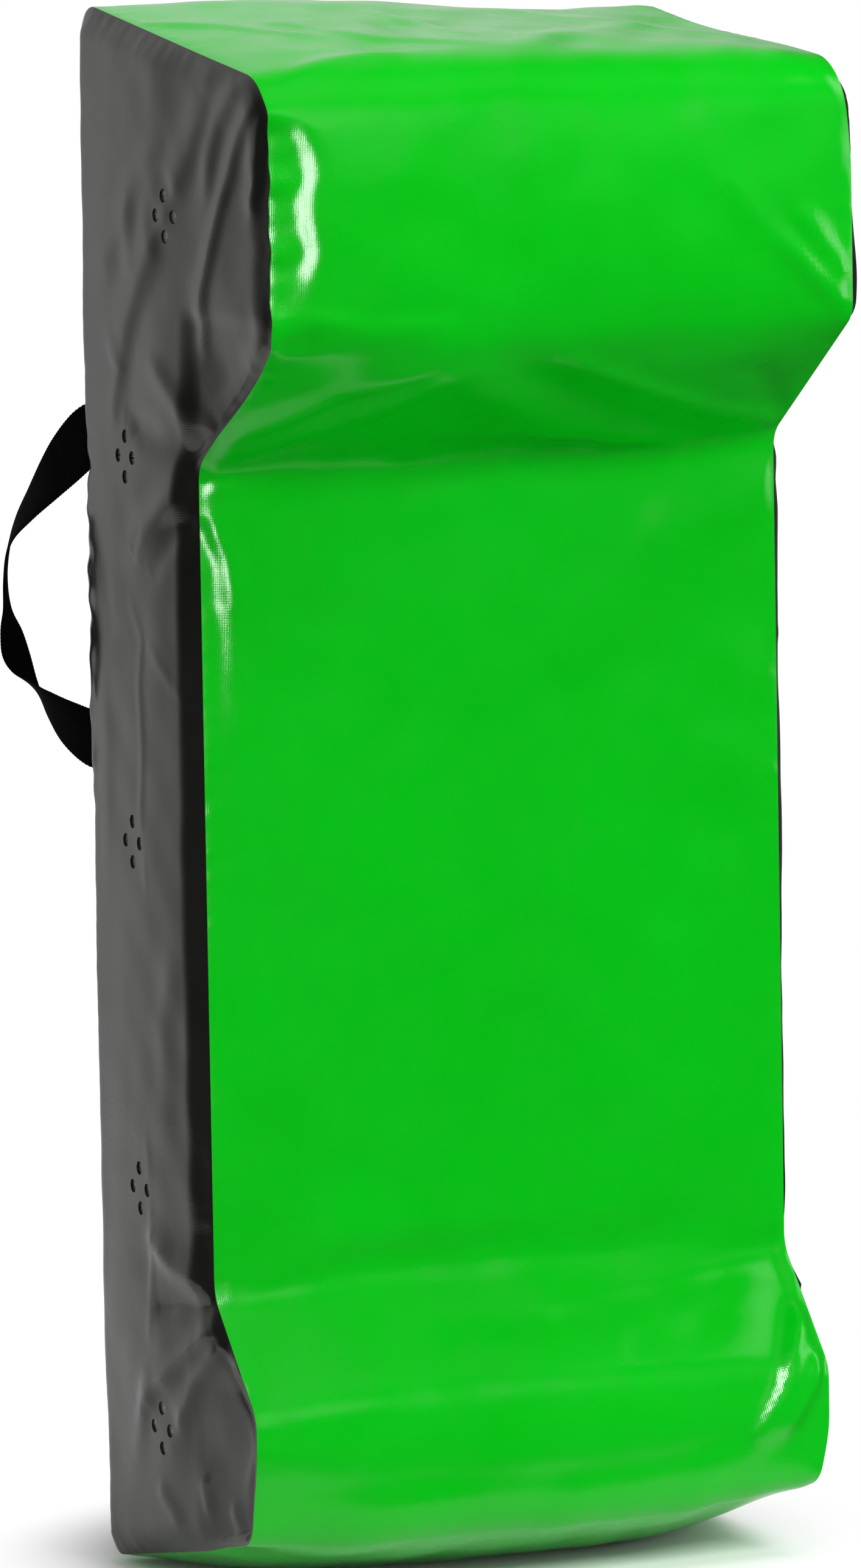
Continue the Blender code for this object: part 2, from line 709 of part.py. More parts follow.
def round_bar(name, place, radius, length, finish=None):
    """A round bar along X, with its middle at a place."""
    points, faces = [], []
    for x in (-length / 2, length / 2):
        for turn in range(ROUND_SIDES):
            angle = 2 * math.pi * (turn + 0.5) / ROUND_SIDES
            points.append((x, radius * math.cos(angle), radius * math.sin(angle)))
    for turn in range(ROUND_SIDES):
        after = (turn + 1) % ROUND_SIDES
        faces.append((turn, after, ROUND_SIDES + after, ROUND_SIDES + turn))
    faces += [tuple(range(ROUND_SIDES)), tuple(range(ROUND_SIDES, 2 * ROUND_SIDES))]
    bar = mesh_object(name, points, faces, finish)
    bar.location = place
    return bar


def add_pull(height, pin_y):
    """The pull: an eye round the slider's pin, a neck, and a flat tab that hangs down."""
    eye_width = LUG_GAP - 2 * CLEARANCE
    pull = round_bar("zip_pull", (0, pin_y, height), EYE_RADIUS, eye_width, ("nickel", NICKEL))
    ear_reach = LUG_LENGTH + CLEARANCE
    half = PULL_THICKNESS / 2
    neck = box("pull_neck", (-eye_width / 2, pin_y - half, height - ear_reach - PULL_THICKNESS),
               (eye_width / 2, pin_y + half, height))
    tab = box("pull_tab", (-PULL_WIDTH / 2, pin_y - half, height - PULL_LENGTH),
              (PULL_WIDTH / 2, pin_y + half, height - ear_reach))
    hole = round_bar("pull_eye", (0, pin_y, height), PIN_RADIUS + CLEARANCE, LUG_GAP)
    for cutter in (neck, tab):
        boolean(pull, hide(cutter), "UNION")
    boolean(pull, hide(hole), "DIFFERENCE")


def add_end_patches():
    """Patches sewn over both ends of the slot."""
    outer = BACK_Y + CLEARANCE
    for name, low in (
        ("zip_patch_lower", SLOT_BOTTOM + END_PATCH_OVERLAP - END_PATCH_HEIGHT),
        ("zip_patch_upper", SLOT_TOP - END_PATCH_OVERLAP),
    ):
        high = low + END_PATCH_HEIGHT
        box(
            name, (-END_PATCH_WIDTH / 2, outer, low), (END_PATCH_WIDTH / 2, outer + SHEET, high),
            ("black_pvc", BLACK_PVC),
        )


def handle_axis(side):
    """Where a loop's fold line stands, seen from above."""
    patch_face = BACK_Y + CLEARANCE + SHEET
    tab_face = patch_face + CLEARANCE + WEBBING_THICKNESS
    return Vector((side * (HALF_WIDTH - HANDLE_INSET), tab_face + CLEARANCE + WEBBING_THICKNESS / 2, 0.0))


def route_points(side):
    """Middle line of a loop and its width direction, smoothed through the route's own points."""
    angle = math.radians(HANDLE_REST_DEG)
    reach_way = Vector((side * math.cos(angle), math.sin(angle), 0.0))
    plane_normal = Vector((0.0, 0.0, 1.0)).cross(reach_way) * -side
    upper = HANDLE_MIDDLE_HEIGHT + HANDLE_SPAN / 2
    shares = [np.array(row) for row in LOOP_ROUTE_SHARES]
    samples = []
    for index in range(len(shares) - 1):
        before = shares[max(index - 1, 0)]
        start, end = shares[index], shares[index + 1]
        after = shares[min(index + 2, len(shares) - 1)]
        for step in range(LOOP_COUNT):
            samples.append(smooth_between(before, start, end, after, step / LOOP_COUNT))
    samples.append(shares[-1])
    middles = [
        reach_way * (HANDLE_REACH * reach) + Vector((0.0, 0.0, upper - HANDLE_SPAN * drop))
        for reach, drop, _ in samples
    ]
    inner, outer = middles[:-2], middles[2:]
    tangents = [reach_way] + [(b - a).normalized() for a, b in zip(inner, outer)] + [-reach_way]
    rows = []
    for middle, tangent, sample in zip(middles, tangents, samples):
        flat = tangent.cross(plane_normal).normalized() * side
        turn = math.radians(float(sample[2]))
        width = flat * math.cos(turn) + plane_normal * math.sin(turn)
        rows.append((middle, width, tangent.cross(width).normalized()))
    return rows


def smooth_between(before, start, end, after, share):
    """A point between two others on a smooth curve through all four."""
    square, cube = share * share, share * share * share
    return 0.5 * (
        2 * start + (end - before) * share
        + (2 * before - 5 * start + 4 * end - after) * square
        + (3 * start - before - 3 * end + after) * cube
    )


def add_loop(name, side):
    """One webbing loop, made about its fold line."""
    points, faces = [], []
    rows = route_points(side)
    half_width, half_thick = WEBBING_WIDTH / 2, WEBBING_THICKNESS / 2
    for middle, width, normal in rows:
        for across, through in ((1, 1), (1, -1), (-1, -1), (-1, 1)):
            points.append(middle + width * (half_width * across) + normal * (half_thick * through))
    for index in range(len(rows) - 1):
        for corner in range(4):
            after = (corner + 1) % 4
            faces.append((
                4 * index + corner, 4 * index + after,
                4 * (index + 1) + after, 4 * (index + 1) + corner,
            ))
    last = 4 * (len(rows) - 1)
    faces += [(0, 1, 2, 3), (last, last + 1, last + 2, last + 3)]
    loop = mesh_object(name, points, faces, ("webbing_black", WEBBING_BLACK))
    loop.location = handle_axis(side)
    return loop


def add_handles():
    """Both handles: patches on the back panel, tabs sewn on them, and the loops."""
    patch_face = BACK_Y + CLEARANCE
    tab_back = patch_face + SHEET + CLEARANCE
    for name, side in (("left", -1), ("right", 1)):
        axis = handle_axis(side)
        add_loop(f"handle_{name}_loop", side)
        for end, height in (
            ("upper", HANDLE_MIDDLE_HEIGHT + HANDLE_SPAN / 2),
            ("lower", HANDLE_MIDDLE_HEIGHT - HANDLE_SPAN / 2),
        ):
            outer = axis.x + side * TAB_OVERLAP
            inner = outer - side * TAB_LENGTH
            patch_middle = (outer + inner) / 2
            box(
                f"handle_{name}_patch_{end}",
                (patch_middle - PATCH_WIDTH / 2, patch_face, height - PATCH_HEIGHT / 2),
                (patch_middle + PATCH_WIDTH / 2, patch_face + SHEET, height + PATCH_HEIGHT / 2),
                ("black_pvc", BLACK_PVC),
            )
            box(
                f"handle_{name}_tab_{end}",
                (min(outer, inner), tab_back, height - WEBBING_WIDTH / 2),
                (max(outer, inner), tab_back + WEBBING_THICKNESS, height + WEBBING_WIDTH / 2),
                ("webbing_black", WEBBING_BLACK),
            )


def main():
    """Clears the scene and builds the wedge."""
    for obj in list(bpy.data.objects):
        bpy.data.objects.remove(obj, do_unlink=True)
    surface = Surface()
    add_foam(surface)
    add_cover(surface)
    add_zip()
    add_end_patches()
    add_handles()


main()
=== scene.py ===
"""Tackle wedge, dressed for its photograph: sewn tarpaulin cover, foam, webbing handles and zip.

Metres, +Z up. X runs across the pad, -Y is the struck face and +Y the back.
"""

import logging
import math
from contextlib import contextmanager
from dataclasses import dataclass, field
from enum import Enum
from typing import Callable, Iterator, Optional, Sequence, Union

import bpy
import numpy as np
from mathutils import Matrix, Vector
from mathutils.kdtree import KDTree


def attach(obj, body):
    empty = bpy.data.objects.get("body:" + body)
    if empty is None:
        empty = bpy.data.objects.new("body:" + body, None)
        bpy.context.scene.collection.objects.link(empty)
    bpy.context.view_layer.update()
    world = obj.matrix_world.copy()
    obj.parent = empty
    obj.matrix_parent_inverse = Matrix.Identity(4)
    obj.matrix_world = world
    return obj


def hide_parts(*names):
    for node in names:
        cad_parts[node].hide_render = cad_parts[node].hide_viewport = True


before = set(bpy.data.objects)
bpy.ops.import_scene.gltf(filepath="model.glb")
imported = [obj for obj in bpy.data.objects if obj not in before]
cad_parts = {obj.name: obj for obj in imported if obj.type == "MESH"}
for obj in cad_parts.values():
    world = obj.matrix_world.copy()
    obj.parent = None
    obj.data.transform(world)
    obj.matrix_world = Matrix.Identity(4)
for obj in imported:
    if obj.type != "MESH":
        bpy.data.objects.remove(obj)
log = logging.getLogger("wedge")

Piece = bpy.types.Object
Material = bpy.types.Material
Socket = bpy.types.NodeSocket
Array = np.ndarray
Number = Union[int, float, "Signal"]
Place = Sequence[float]
Colour = tuple[float, float, float]
Line = tuple[Place, Place]

WHITE = (1.0, 1.0, 1.0, 1.0)


class Side(Enum):
    """The pad's two sides, as the sign of X there."""

    LEFT = -1
    RIGHT = 1

    @property
    def word(self) -> str:
        """The side's name in a piece's name."""
        return self.name.lower()


class Way(Enum):
    """A direction in the frame, as its axis and sign."""

    LEFT = (0, -1)
    RIGHT = (0, 1)
    FRONT = (1, -1)
    BACK = (1, 1)
    DOWN = (2, -1)
    UP = (2, 1)


class Parts(Enum):
    """What an edit selects: the select mode, and the mesh's own list."""

    EDGES = ("EDGE", "edges")
    FACES = ("FACE", "polygons")


# Shader graphs


class Signal:
    """One value in a shader, with arithmetic that adds the Math nodes it needs."""

    def __init__(self, graph: "Graph", socket: Socket) -> None:
        """Wraps an output socket of the graph."""
        self.graph = graph
        self.socket = socket

    def math(self, operation: str, *others: Number) -> "Signal":
        """This value and others through one Math node."""
        return self.graph.math(operation, self, *others)

    def __add__(self, other: Number) -> "Signal":
        """This value plus another."""
        return self.math("ADD", other)

    def __sub__(self, other: Number) -> "Signal":
        """This value less another."""
        return self.math("SUBTRACT", other)

    def __rsub__(self, other: Number) -> "Signal":
        """Another value less this one."""
        return self.graph.math("SUBTRACT", other, self)

    def __mul__(self, other: Number) -> "Signal":
        """This value times another."""
        return self.math("MULTIPLY", other)

    __radd__ = __add__
    __rmul__ = __mul__

    def wave(self, length: float) -> "Signal":
        """A sine of this value, repeating at the given length."""
        return (self * (math.tau / length)).math("SINE")

    def rise(self, low: float, high: float) -> "Signal":
        """A soft step from 0 at one value to 1 at the other."""
        inputs = {"Value": self, "From Min": low, "From Max": high}
        return self.graph.value("ShaderNodeMapRange", {"interpolation_type": "SMOOTHSTEP"}, inputs, "Result")


class Graph:
    """A shader's nodes, added one at a time and laid out by the order they come in."""

    def __init__(self, tree: bpy.types.NodeTree) -> None:
        """Starts with an empty tree."""
        self.tree = tree
        tree.nodes.clear()

    def node(self, kind: str, settings: Optional[dict] = None, inputs: Optional[dict] = None) -> bpy.types.Node:
        """Adds a node.

        Args:
            kind: The node's type.
            settings: Its own settings, set first.
            inputs: Values or links of its sockets, by name or number.

        Returns:
            The new node.
        """
        made = self.tree.nodes.new(kind)
        count, columns = len(self.tree.nodes), 12
        made.location = (200 * (count % columns), -220 * (count // columns))
        for key, setting in (settings or {}).items():
            setattr(made, key, setting)
        for key, given in (inputs or {}).items():
            if isinstance(given, Signal):
                given = given.socket
            if isinstance(given, Socket):
                self.tree.links.new(given, made.inputs[key])
            else:
                made.inputs[key].default_value = given
        return made

    def value(self, kind: str, settings: Optional[dict], inputs: Optional[dict], output: Union[str, int]) -> Signal:
        """Adds a node and wraps one of its outputs."""
        return Signal(self, self.node(kind, settings, inputs).outputs[output])

    def math(self, operation: str, *values: Number) -> Signal:
        """Adds a Math node over these values."""
        return self.value("ShaderNodeMath", {"operation": operation}, dict(enumerate(values)), 0)

    def parts(self, output: str) -> list[Signal]:
        """The three parts of the piece's place ("Object") or of its own flat coordinates ("UV"), in metres."""
        split = self.node("ShaderNodeSeparateXYZ", None, {0: self.node("ShaderNodeTexCoord").outputs[output]})
        return [Signal(self, part) for part in split.outputs]

    def ray(self, kind: str) -> Signal:
        """1 for a ray of this kind, such as a camera ray, and 0 for any other."""
        return self.value("ShaderNodeLightPath", None, None, f"Is {kind} Ray")

    def noise(self, scale: float, detail: float = 2.0, roughness: float = 0.5, distortion: float = 0.0) -> Signal:
        """Soft random values over the piece.

        Args:
            scale: Cells in a metre.
            detail: Finer layers added to the first.
            roughness: How strong the finer layers are.
            distortion: How far the pattern is twisted.

        Returns:
            The values, mostly between 0 and 1.
        """
        place = self.node("ShaderNodeTexCoord").outputs["Object"]
        inputs = {
            "Vector": place, "Scale": scale, "Detail": detail, "Roughness": roughness, "Distortion": distortion,
        }
        return self.value("ShaderNodeTexNoise", None, inputs, "Fac")

    def cells(self, scale: float) -> Signal:
        """Distance to the nearest cell's middle, at so many cells a metre."""
        place = self.node("ShaderNodeTexCoord").outputs["Object"]
        return self.value("ShaderNodeTexVoronoi", None, {"Vector": place, "Scale": scale}, "Distance")

    def blend(self, share: Signal, first: Colour, second: Colour) -> Socket:
        """A colour between two, by a share."""
        inputs = {0: share, 6: (*first, 1.0), 7: (*second, 1.0)}
        return self.node("ShaderNodeMix", {"data_type": "RGBA"}, inputs).outputs[2]

    def bump(self, height: Signal, strength: float = 1.0) -> Socket:
        """A normal bent by a height in metres."""
        made = self.node("ShaderNodeBump", None, {"Strength": strength, "Distance": 1.0, "Height": height})
        return made.outputs["Normal"]

    def surface(self, **sockets: object) -> None:
        """Adds the main shader with these sockets, and the output."""
        named = {key.replace("_", " ").title().replace("Ior", "IOR"): given for key, given in sockets.items()}
        shader = self.node("ShaderNodeBsdfPrincipled", None, named)
        self.node("ShaderNodeOutputMaterial", None, {"Surface": shader.outputs[0]})


def new_material(name: str) -> tuple[Material, Graph]:
    """A new material and its empty graph."""
    made = bpy.data.materials.new(name)
    made.use_nodes = True
    return made, Graph(made.node_tree)


# Finishes: a noise is given as its scale in cells a metre, detail, roughness and distortion


@dataclass(frozen=True)
class Tarpaulin:
    """Vinyl-coated woven sheet: glossy skin over a scrim whose threads show in the highlights."""

    name: str
    slot: str
    colour: Colour
    faded: Colour
    thread_height: float
    skin_height: float
    tint: Colour = (1.0, 1.0, 1.0)
    roughness: float = 0.17
    uneven: float = 0.16
    thread_pitch: float = 0.0016
    clouds: tuple[float, ...] = (7.0, 3.0, 0.55)
    marks: tuple[float, ...] = (23.0, 4.0, 0.62, 0.6)
    skin: tuple[float, ...] = (150.0, 2.0, 0.5)

    def material(self) -> Material:
        """The sheet's material."""
        made, graph = new_material(self.name)
        across, along, _ = graph.parts("UV")
        pitch = self.thread_pitch * math.sqrt(2)
        clouds, marks, skin = graph.noise(*self.clouds), graph.noise(*self.marks), graph.noise(*self.skin)
        scrim = (across + along).wave(pitch) * (across - along).wave(pitch)
        height = scrim * self.thread_height * (0.45 + clouds * 0.9) + skin * self.skin_height
        graph.surface(
            base_color=graph.blend(clouds.rise(0.3, 0.75), self.colour, self.faded),
            roughness=self.roughness + (marks - 0.5) * self.uneven,
            specular_ior_level=0.5,
            specular_tint=(*self.tint, 1.0),
            normal=graph.bump(height),
        )
        return made


@dataclass(frozen=True)
class Webbing:
    """Woven strap: ribs across it, broken by the warp ends along it."""

    name: str = "ribbed_webbing"
    slot: str = "webbing_black"
    colour: Colour = (0.0022, 0.0022, 0.0024)
    # The rib crowns' lighter colour: rubbed wear, and a painted highlight on the crowns.
    worn: Colour = (0.0090, 0.0090, 0.0095)
    roughness: float = 0.72
    rib_pitch: float = 0.0024
    end_pitch: float = 0.0021
    rib_height: float = 0.00032
    fuzz_height: float = 0.00008
    fuzz: tuple[float, ...] = (900.0, 2.0, 0.6)
    wear: tuple[float, ...] = (34.0, 3.0, 0.6)

    def material(self) -> Material:
        """The strap's material."""
        made, graph = new_material(self.name)
        across, along, _ = graph.parts("UV")
        ends = across.wave(self.end_pitch * 2)
        ribs = (along + ends.math("SIGN") * (self.rib_pitch / 4)).wave(self.rib_pitch)
        lanes = across.wave(self.end_pitch).math("ABSOLUTE")
        fuzz, wear = graph.noise(*self.fuzz), graph.noise(*self.wear)
        crown = (ribs * 0.5 + 0.5) * (0.4 + lanes * 0.6)
        graph.surface(
            # Rib crowns painted lighter where the wear noise is high: rubbed wear, and a painted highlight on the
            # crowns.
            base_color=graph.blend(crown * wear.rise(0.25, 0.8), self.colour, self.worn),
            roughness=self.roughness + (fuzz - 0.5) * 0.2,
            specular_ior_level=0.012,
            normal=graph.bump(crown * self.rib_height + fuzz * self.fuzz_height, 0.9),
        )
        return made


@dataclass(frozen=True)
class ZipTape:
    """Fine twill tape beside the zip's rows."""

    name: str = "zip_tape_twill"
    slot: str = "tape_black"
    colour: Colour = (0.010, 0.010, 0.011)
    # The colour of the twill's raised ridges: a painted highlight.
    raised: Colour = (0.024, 0.024, 0.026)
    roughness: float = 0.82
    pitch: float = 0.0009
    twill_height: float = 0.00012
    fuzz_height: float = 0.00004
    fuzz: tuple[float, ...] = (1400.0, 2.0)

    def material(self) -> Material:
        """The tape's material."""
        made, graph = new_material(self.name)
        across, _, up = graph.parts("Object")
        twill = (across + up).wave(self.pitch) * 0.5 + 0.5
        fuzz = graph.noise(*self.fuzz)
        graph.surface(
            # The twill's raised ridges are painted lighter: a painted highlight on the weave.
            base_color=graph.blend(twill, self.colour, self.raised),
            roughness=self.roughness + (fuzz - 0.5) * 0.16,
            specular_ior_level=0.3,
            normal=graph.bump(twill * self.twill_height + fuzz * self.fuzz_height),
        )
        return made


@dataclass(frozen=True)
class HardFinish:
    """A hard small part: plated metal, or the moulded plastic of the zip's coil."""

    name: str
    slot: str
    colour: Colour
    rubbed: Colour
    roughness: float
    metallic: float
    uneven: float = 0.22
    grain_height: float = 0.000012
    rub: tuple[float, ...] = (210.0, 4.0, 0.62)
    grain: tuple[float, ...] = (2600.0, 2.0, 0.5)

    def material(self) -> Material:
        """The part's material, rubbed lighter in places."""
        made, graph = new_material(self.name)
        rub, grain = graph.noise(*self.rub), graph.noise(*self.grain)
        graph.surface(
            base_color=graph.blend(rub.rise(0.4, 0.75), self.colour, self.rubbed),
            roughness=self.roughness + (rub - 0.5) * self.uneven,
            metallic=self.metallic,
            normal=graph.bump(grain * self.grain_height),
        )
        return made


@dataclass(frozen=True)
class Thread:
    """Twisted sewing thread."""

    name: str
    slot: str
    colour: Colour
    # The colour where the twist stands up: a painted highlight.
    twisted: Colour
    roughness: float = 0.55
    twist_height: float = 0.00008
    twist: tuple[float, ...] = (2200.0, 2.0, 0.5)

    def material(self) -> Material:
        """The thread's material, painted lighter where its twist stands up: a painted highlight on the strands."""
        made, graph = new_material(self.name)
        twist = graph.noise(*self.twist)
        graph.surface(
            # Lighter where the twist's bump is high: painted highlight.
            base_color=graph.blend(twist.rise(0.35, 0.65), self.colour, self.twisted),
            roughness=self.roughness + (twist - 0.5) * 0.2,
            specular_ior_level=0.4,
            normal=graph.bump(twist * self.twist_height),
        )
        return made


@dataclass(frozen=True)
class Foam:
    """Open-cell foam, cut by a hot wire."""

    name: str
    slot: str
    colour: Colour
    # The colour in the pores: painted shade.
    pore: Colour
    cells: float
    roughness: float = 0.9
    coarse_share: float = 0.37
    pit_depth: float = 0.0005
    clouds: tuple[float, ...] = (30.0, 3.0, 0.6)

    def material(self) -> Material:
        """The foam's material: pores as sunk pits, painted darker as painted shade, in a soft pale skin."""
        made, graph = new_material(self.name)
        pores, coarse = graph.cells(self.cells), graph.cells(self.cells * self.coarse_share)
        clouds = graph.noise(*self.clouds)
        pits = pores.rise(0.12, 0.52) * (0.55 + coarse.rise(0.1, 0.5) * 0.45)
        graph.surface(
            # The sunk pits take the darker colour: painted shade in the pores.
            base_color=graph.blend(pits * (0.7 + clouds * 0.3), self.pore, self.colour),
            roughness=self.roughness + (clouds - 0.5) * 0.1,
            specular_ior_level=0.2,
            normal=graph.bump(pits * self.pit_depth),
        )
        return made


Finish = Union[Tarpaulin, Webbing, ZipTape, HardFinish, Thread, Foam]

GREEN_SHEET = Tarpaulin(
    "green_tarpaulin", "green_pvc", (0.0, 0.445, 0.0050), (0.0, 0.480, 0.0070), 0.000022, 0.00011,
)
BLACK_SHEET = Tarpaulin(
    "black_tarpaulin", "black_pvc", (0.0075, 0.0075, 0.0068), (0.012, 0.012, 0.011), 0.000012, 0.00006,
    (0.99, 1.0, 0.92),
)
STRAP = Webbing()
TAPE = ZipTape()
COIL = HardFinish("coil_nylon", "coil_black", (0.013, 0.013, 0.014), (0.030, 0.030, 0.031), 0.42, 0.0)
PLATED = HardFinish("plated_metal", "nickel", (0.42, 0.41, 0.39), (0.56, 0.55, 0.52), 0.3, 1.0)
BLACK_THREAD = Thread("black_thread", "webbing_black", (0.010, 0.010, 0.011), (0.045, 0.045, 0.047))
TAN_FOAM = Foam("tan_foam", "foam_tan", (0.52, 0.49, 0.42), (0.18, 0.165, 0.13), 900.0)
GREY_FOAM = Foam("grey_foam", "foam_grey", (0.20, 0.20, 0.21), (0.07, 0.07, 0.075), 1200.0)


class Paintbox:
    """The materials, each made once."""

    def __init__(self) -> None:
        """Starts with none made."""
        self.made: dict[str, Material] = {}

    def dress(self, piece: Piece, finish: Finish, node: str = "", body: str = "pad", fill: float = 0.0) -> Piece:
        """Gives a piece its finish, hides the CAD node that it stands for, and puts it on the body that it rides
        on.

        Args:
            piece: The piece.
            finish: Its finish.
            node: The CAD node that it replaces, or nothing.
            body: The body that it rides on.
            fill: How firmly a padded piece is filled, or 0 for one that isn't padded; not used.

        Returns:
            The piece.
        """
        if finish.name not in self.made:
            self.made[finish.name] = finish.material()
        piece.data.materials.clear()
        piece.data.materials.append(self.made[finish.name])
        if node:
            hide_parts(node)
        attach(piece, body)
        log.info("%s: %d faces", piece.name, len(piece.data.polygons))
        return piece


# Modelling steps


class Bench:
    """The modelling steps that every piece here is made by."""

    @staticmethod
    def clear() -> None:
        """Leaves nothing selected and no edit under way."""
        if bpy.context.object is not None and bpy.context.object.mode != "OBJECT":
            bpy.ops.object.mode_set(mode="OBJECT")
        bpy.ops.object.select_all(action="DESELECT")

    @staticmethod
    def pick(piece: Piece) -> Piece:
        """Makes a piece the only one selected."""
        Bench.clear()
        bpy.context.view_layer.objects.active = piece
        piece.select_set(True)
        return piece

    @staticmethod
    def add(name: str, data: Optional[bpy.types.ID]) -> Piece:
        """Puts a new object with this data into the scene."""
        piece = bpy.data.objects.new(name, data)
        bpy.context.scene.collection.objects.link(piece)
        return piece

    @staticmethod
    def settle(name: str) -> Piece:
        """Names the new primitive and puts its place into its mesh."""
        piece = bpy.context.object
        piece.name = piece.data.name = name
        Bench.pick(piece)
        bpy.ops.object.transform_apply(location=True, rotation=True, scale=True)
        return piece

    @staticmethod
    def block(name: str, low: Place, high: Place) -> Piece:
        """A cube at its size and place."""
        Bench.clear()
        low, high = Vector(low), Vector(high)
        bpy.ops.mesh.primitive_cube_add(size=1.0, location=(low + high) / 2, scale=high - low)
        return Bench.settle(name)

    @staticmethod
    def rod(name: str, radius: float, length: float, sides: int, middle: Place = (0.0, 0.0, 0.0)) -> Piece:
        """A round rod along X at its size and place."""
        Bench.clear()
        lying = (0.0, math.pi / 2, 0.0)
        bpy.ops.mesh.primitive_cylinder_add(
            vertices=sides, radius=radius, depth=length, location=middle, rotation=lying
        )
        return Bench.settle(name)

    @staticmethod
    @contextmanager
    def editing(piece: Piece, test: Callable, parts: Parts = Parts.FACES) -> Iterator[None]:
        """Opens a mesh for editing with what passes the test selected, and closes it again.

        Args:
            piece: The piece.
            test: Says of an edge or face whether it is selected.
            parts: Whether edges or faces are selected.
        """
        mode, store = parts.value
        Bench.pick(piece)
        bpy.ops.object.mode_set(mode="EDIT")
        bpy.ops.mesh.select_mode(type=mode)
        bpy.ops.mesh.select_all(action="DESELECT")
        bpy.ops.object.mode_set(mode="OBJECT")
        listed = getattr(piece.data, store)
        listed.foreach_set("select", [bool(test(part)) for part in listed])
        bpy.ops.object.mode_set(mode="EDIT")
        yield
        bpy.ops.object.mode_set(mode="OBJECT")

    @staticmethod
    def outwards(piece: Piece, together: float = 1e-6) -> Piece:
        """Joins points that lie together and turns a closed mesh's faces outwards."""
        Bench.pick(piece)
        bpy.ops.object.mode_set(mode="EDIT")
        bpy.ops.mesh.select_all(action="SELECT")
        bpy.ops.mesh.remove_doubles(threshold=together)
        bpy.ops.mesh.normals_make_consistent(inside=False)
        bpy.ops.object.mode_set(mode="OBJECT")
        return piece

    @staticmethod
    def modify(piece: Piece, kind: str, **settings: object) -> Piece:
        """Adds a modifier with these settings and applies it."""
        Bench.pick(piece)
        step = piece.modifiers.new(kind.lower(), kind)
        for key, setting in settings.items():
            setattr(step, key, setting)
        bpy.ops.object.modifier_apply(modifier=step.name)
        return piece

    @staticmethod
    def soften(piece: Piece, width: float, segments: int = 2) -> Piece:
        """Rounds a piece's sharp edges and smooths its shading."""
        Bench.modify(
            piece, "BEVEL", width=width, segments=segments, limit_method="ANGLE",
            angle_limit=math.radians(35.0), harden_normals=False,
        )
        return Bench.smooth(piece)

    @staticmethod
    def smooth(piece: Piece, degrees: float = 40.0) -> Piece:
        """Smooth shading, but for sharp edges."""
        Bench.pick(piece)
        bpy.ops.object.shade_smooth_by_angle(angle=math.radians(degrees))
        return piece

    @staticmethod
    def cut(piece: Piece, cutter: Piece) -> Piece:
        """Cuts a piece by a cutter, and removes the cutter."""
        Bench.modify(piece, "BOOLEAN", operation="DIFFERENCE", solver="EXACT", object=cutter)
        bpy.data.objects.remove(cutter, do_unlink=True)
        return piece

    @staticmethod
    def join(name: str, parts: Sequence[Piece]) -> Piece:
        """Joins parts into one piece."""
        Bench.pick(parts[0])
        for part in parts:
            part.select_set(True)
        bpy.ops.object.join()
        piece = bpy.context.object
        piece.name = piece.data.name = name
        return piece

    @staticmethod
    def round_corners(piece: Piece, radius: float) -> Piece:
        """Rounds the corners of a flat piece that faces the back: its edges along Y."""
        def through(edge: bpy.types.MeshEdge) -> bool:
            """Whether an edge runs along Y."""
            start, end = (piece.data.vertices[index].co for index in edge.vertices)
            way = end - start
            return way.length > 0 and abs(way.y) > 0.99 * way.length

        with Bench.editing(piece, through, Parts.EDGES):
            bpy.ops.mesh.bevel(offset=radius, segments=5)
        return piece

    @staticmethod
    def patch(name: str, low: Place, high: Place, radius: float) -> Piece:
        """A sewn-on patch of sheet on the back, with round corners and its own flat coordinates.

        Args:
            name: The piece's name.
            low: Its lowest corner.
            high: Its highest corner.
            radius: Of its round corners.

        Returns:
            The piece.
        """
        piece = Bench.round_corners(Bench.block(name, low, high), radius)
        Bench.soften(piece, 0.00022)
        mesh = piece.data
        layer = mesh.uv_layers.active or mesh.uv_layers.new(name="UVMap")
        corners = np.empty(len(mesh.loops), np.int32)
        mesh.loops.foreach_get("vertex_index", corners)
        places = np.array([(point.co.x, point.co.z) for point in mesh.vertices], np.float32)
        layer.data.foreach_set("uv", places[corners].ravel())
        return piece


def rectangle(low: Place, high: Place, y: float) -> list[Line]:
    """The four sides of a rectangle on the back, given as x and z."""
    a, b = (low[0], y, low[1]), (high[0], y, low[1])
    c, d = (high[0], y, high[1]), (low[0], y, high[1])
    return [(a, b), (b, c), (c, d), (d, a)]


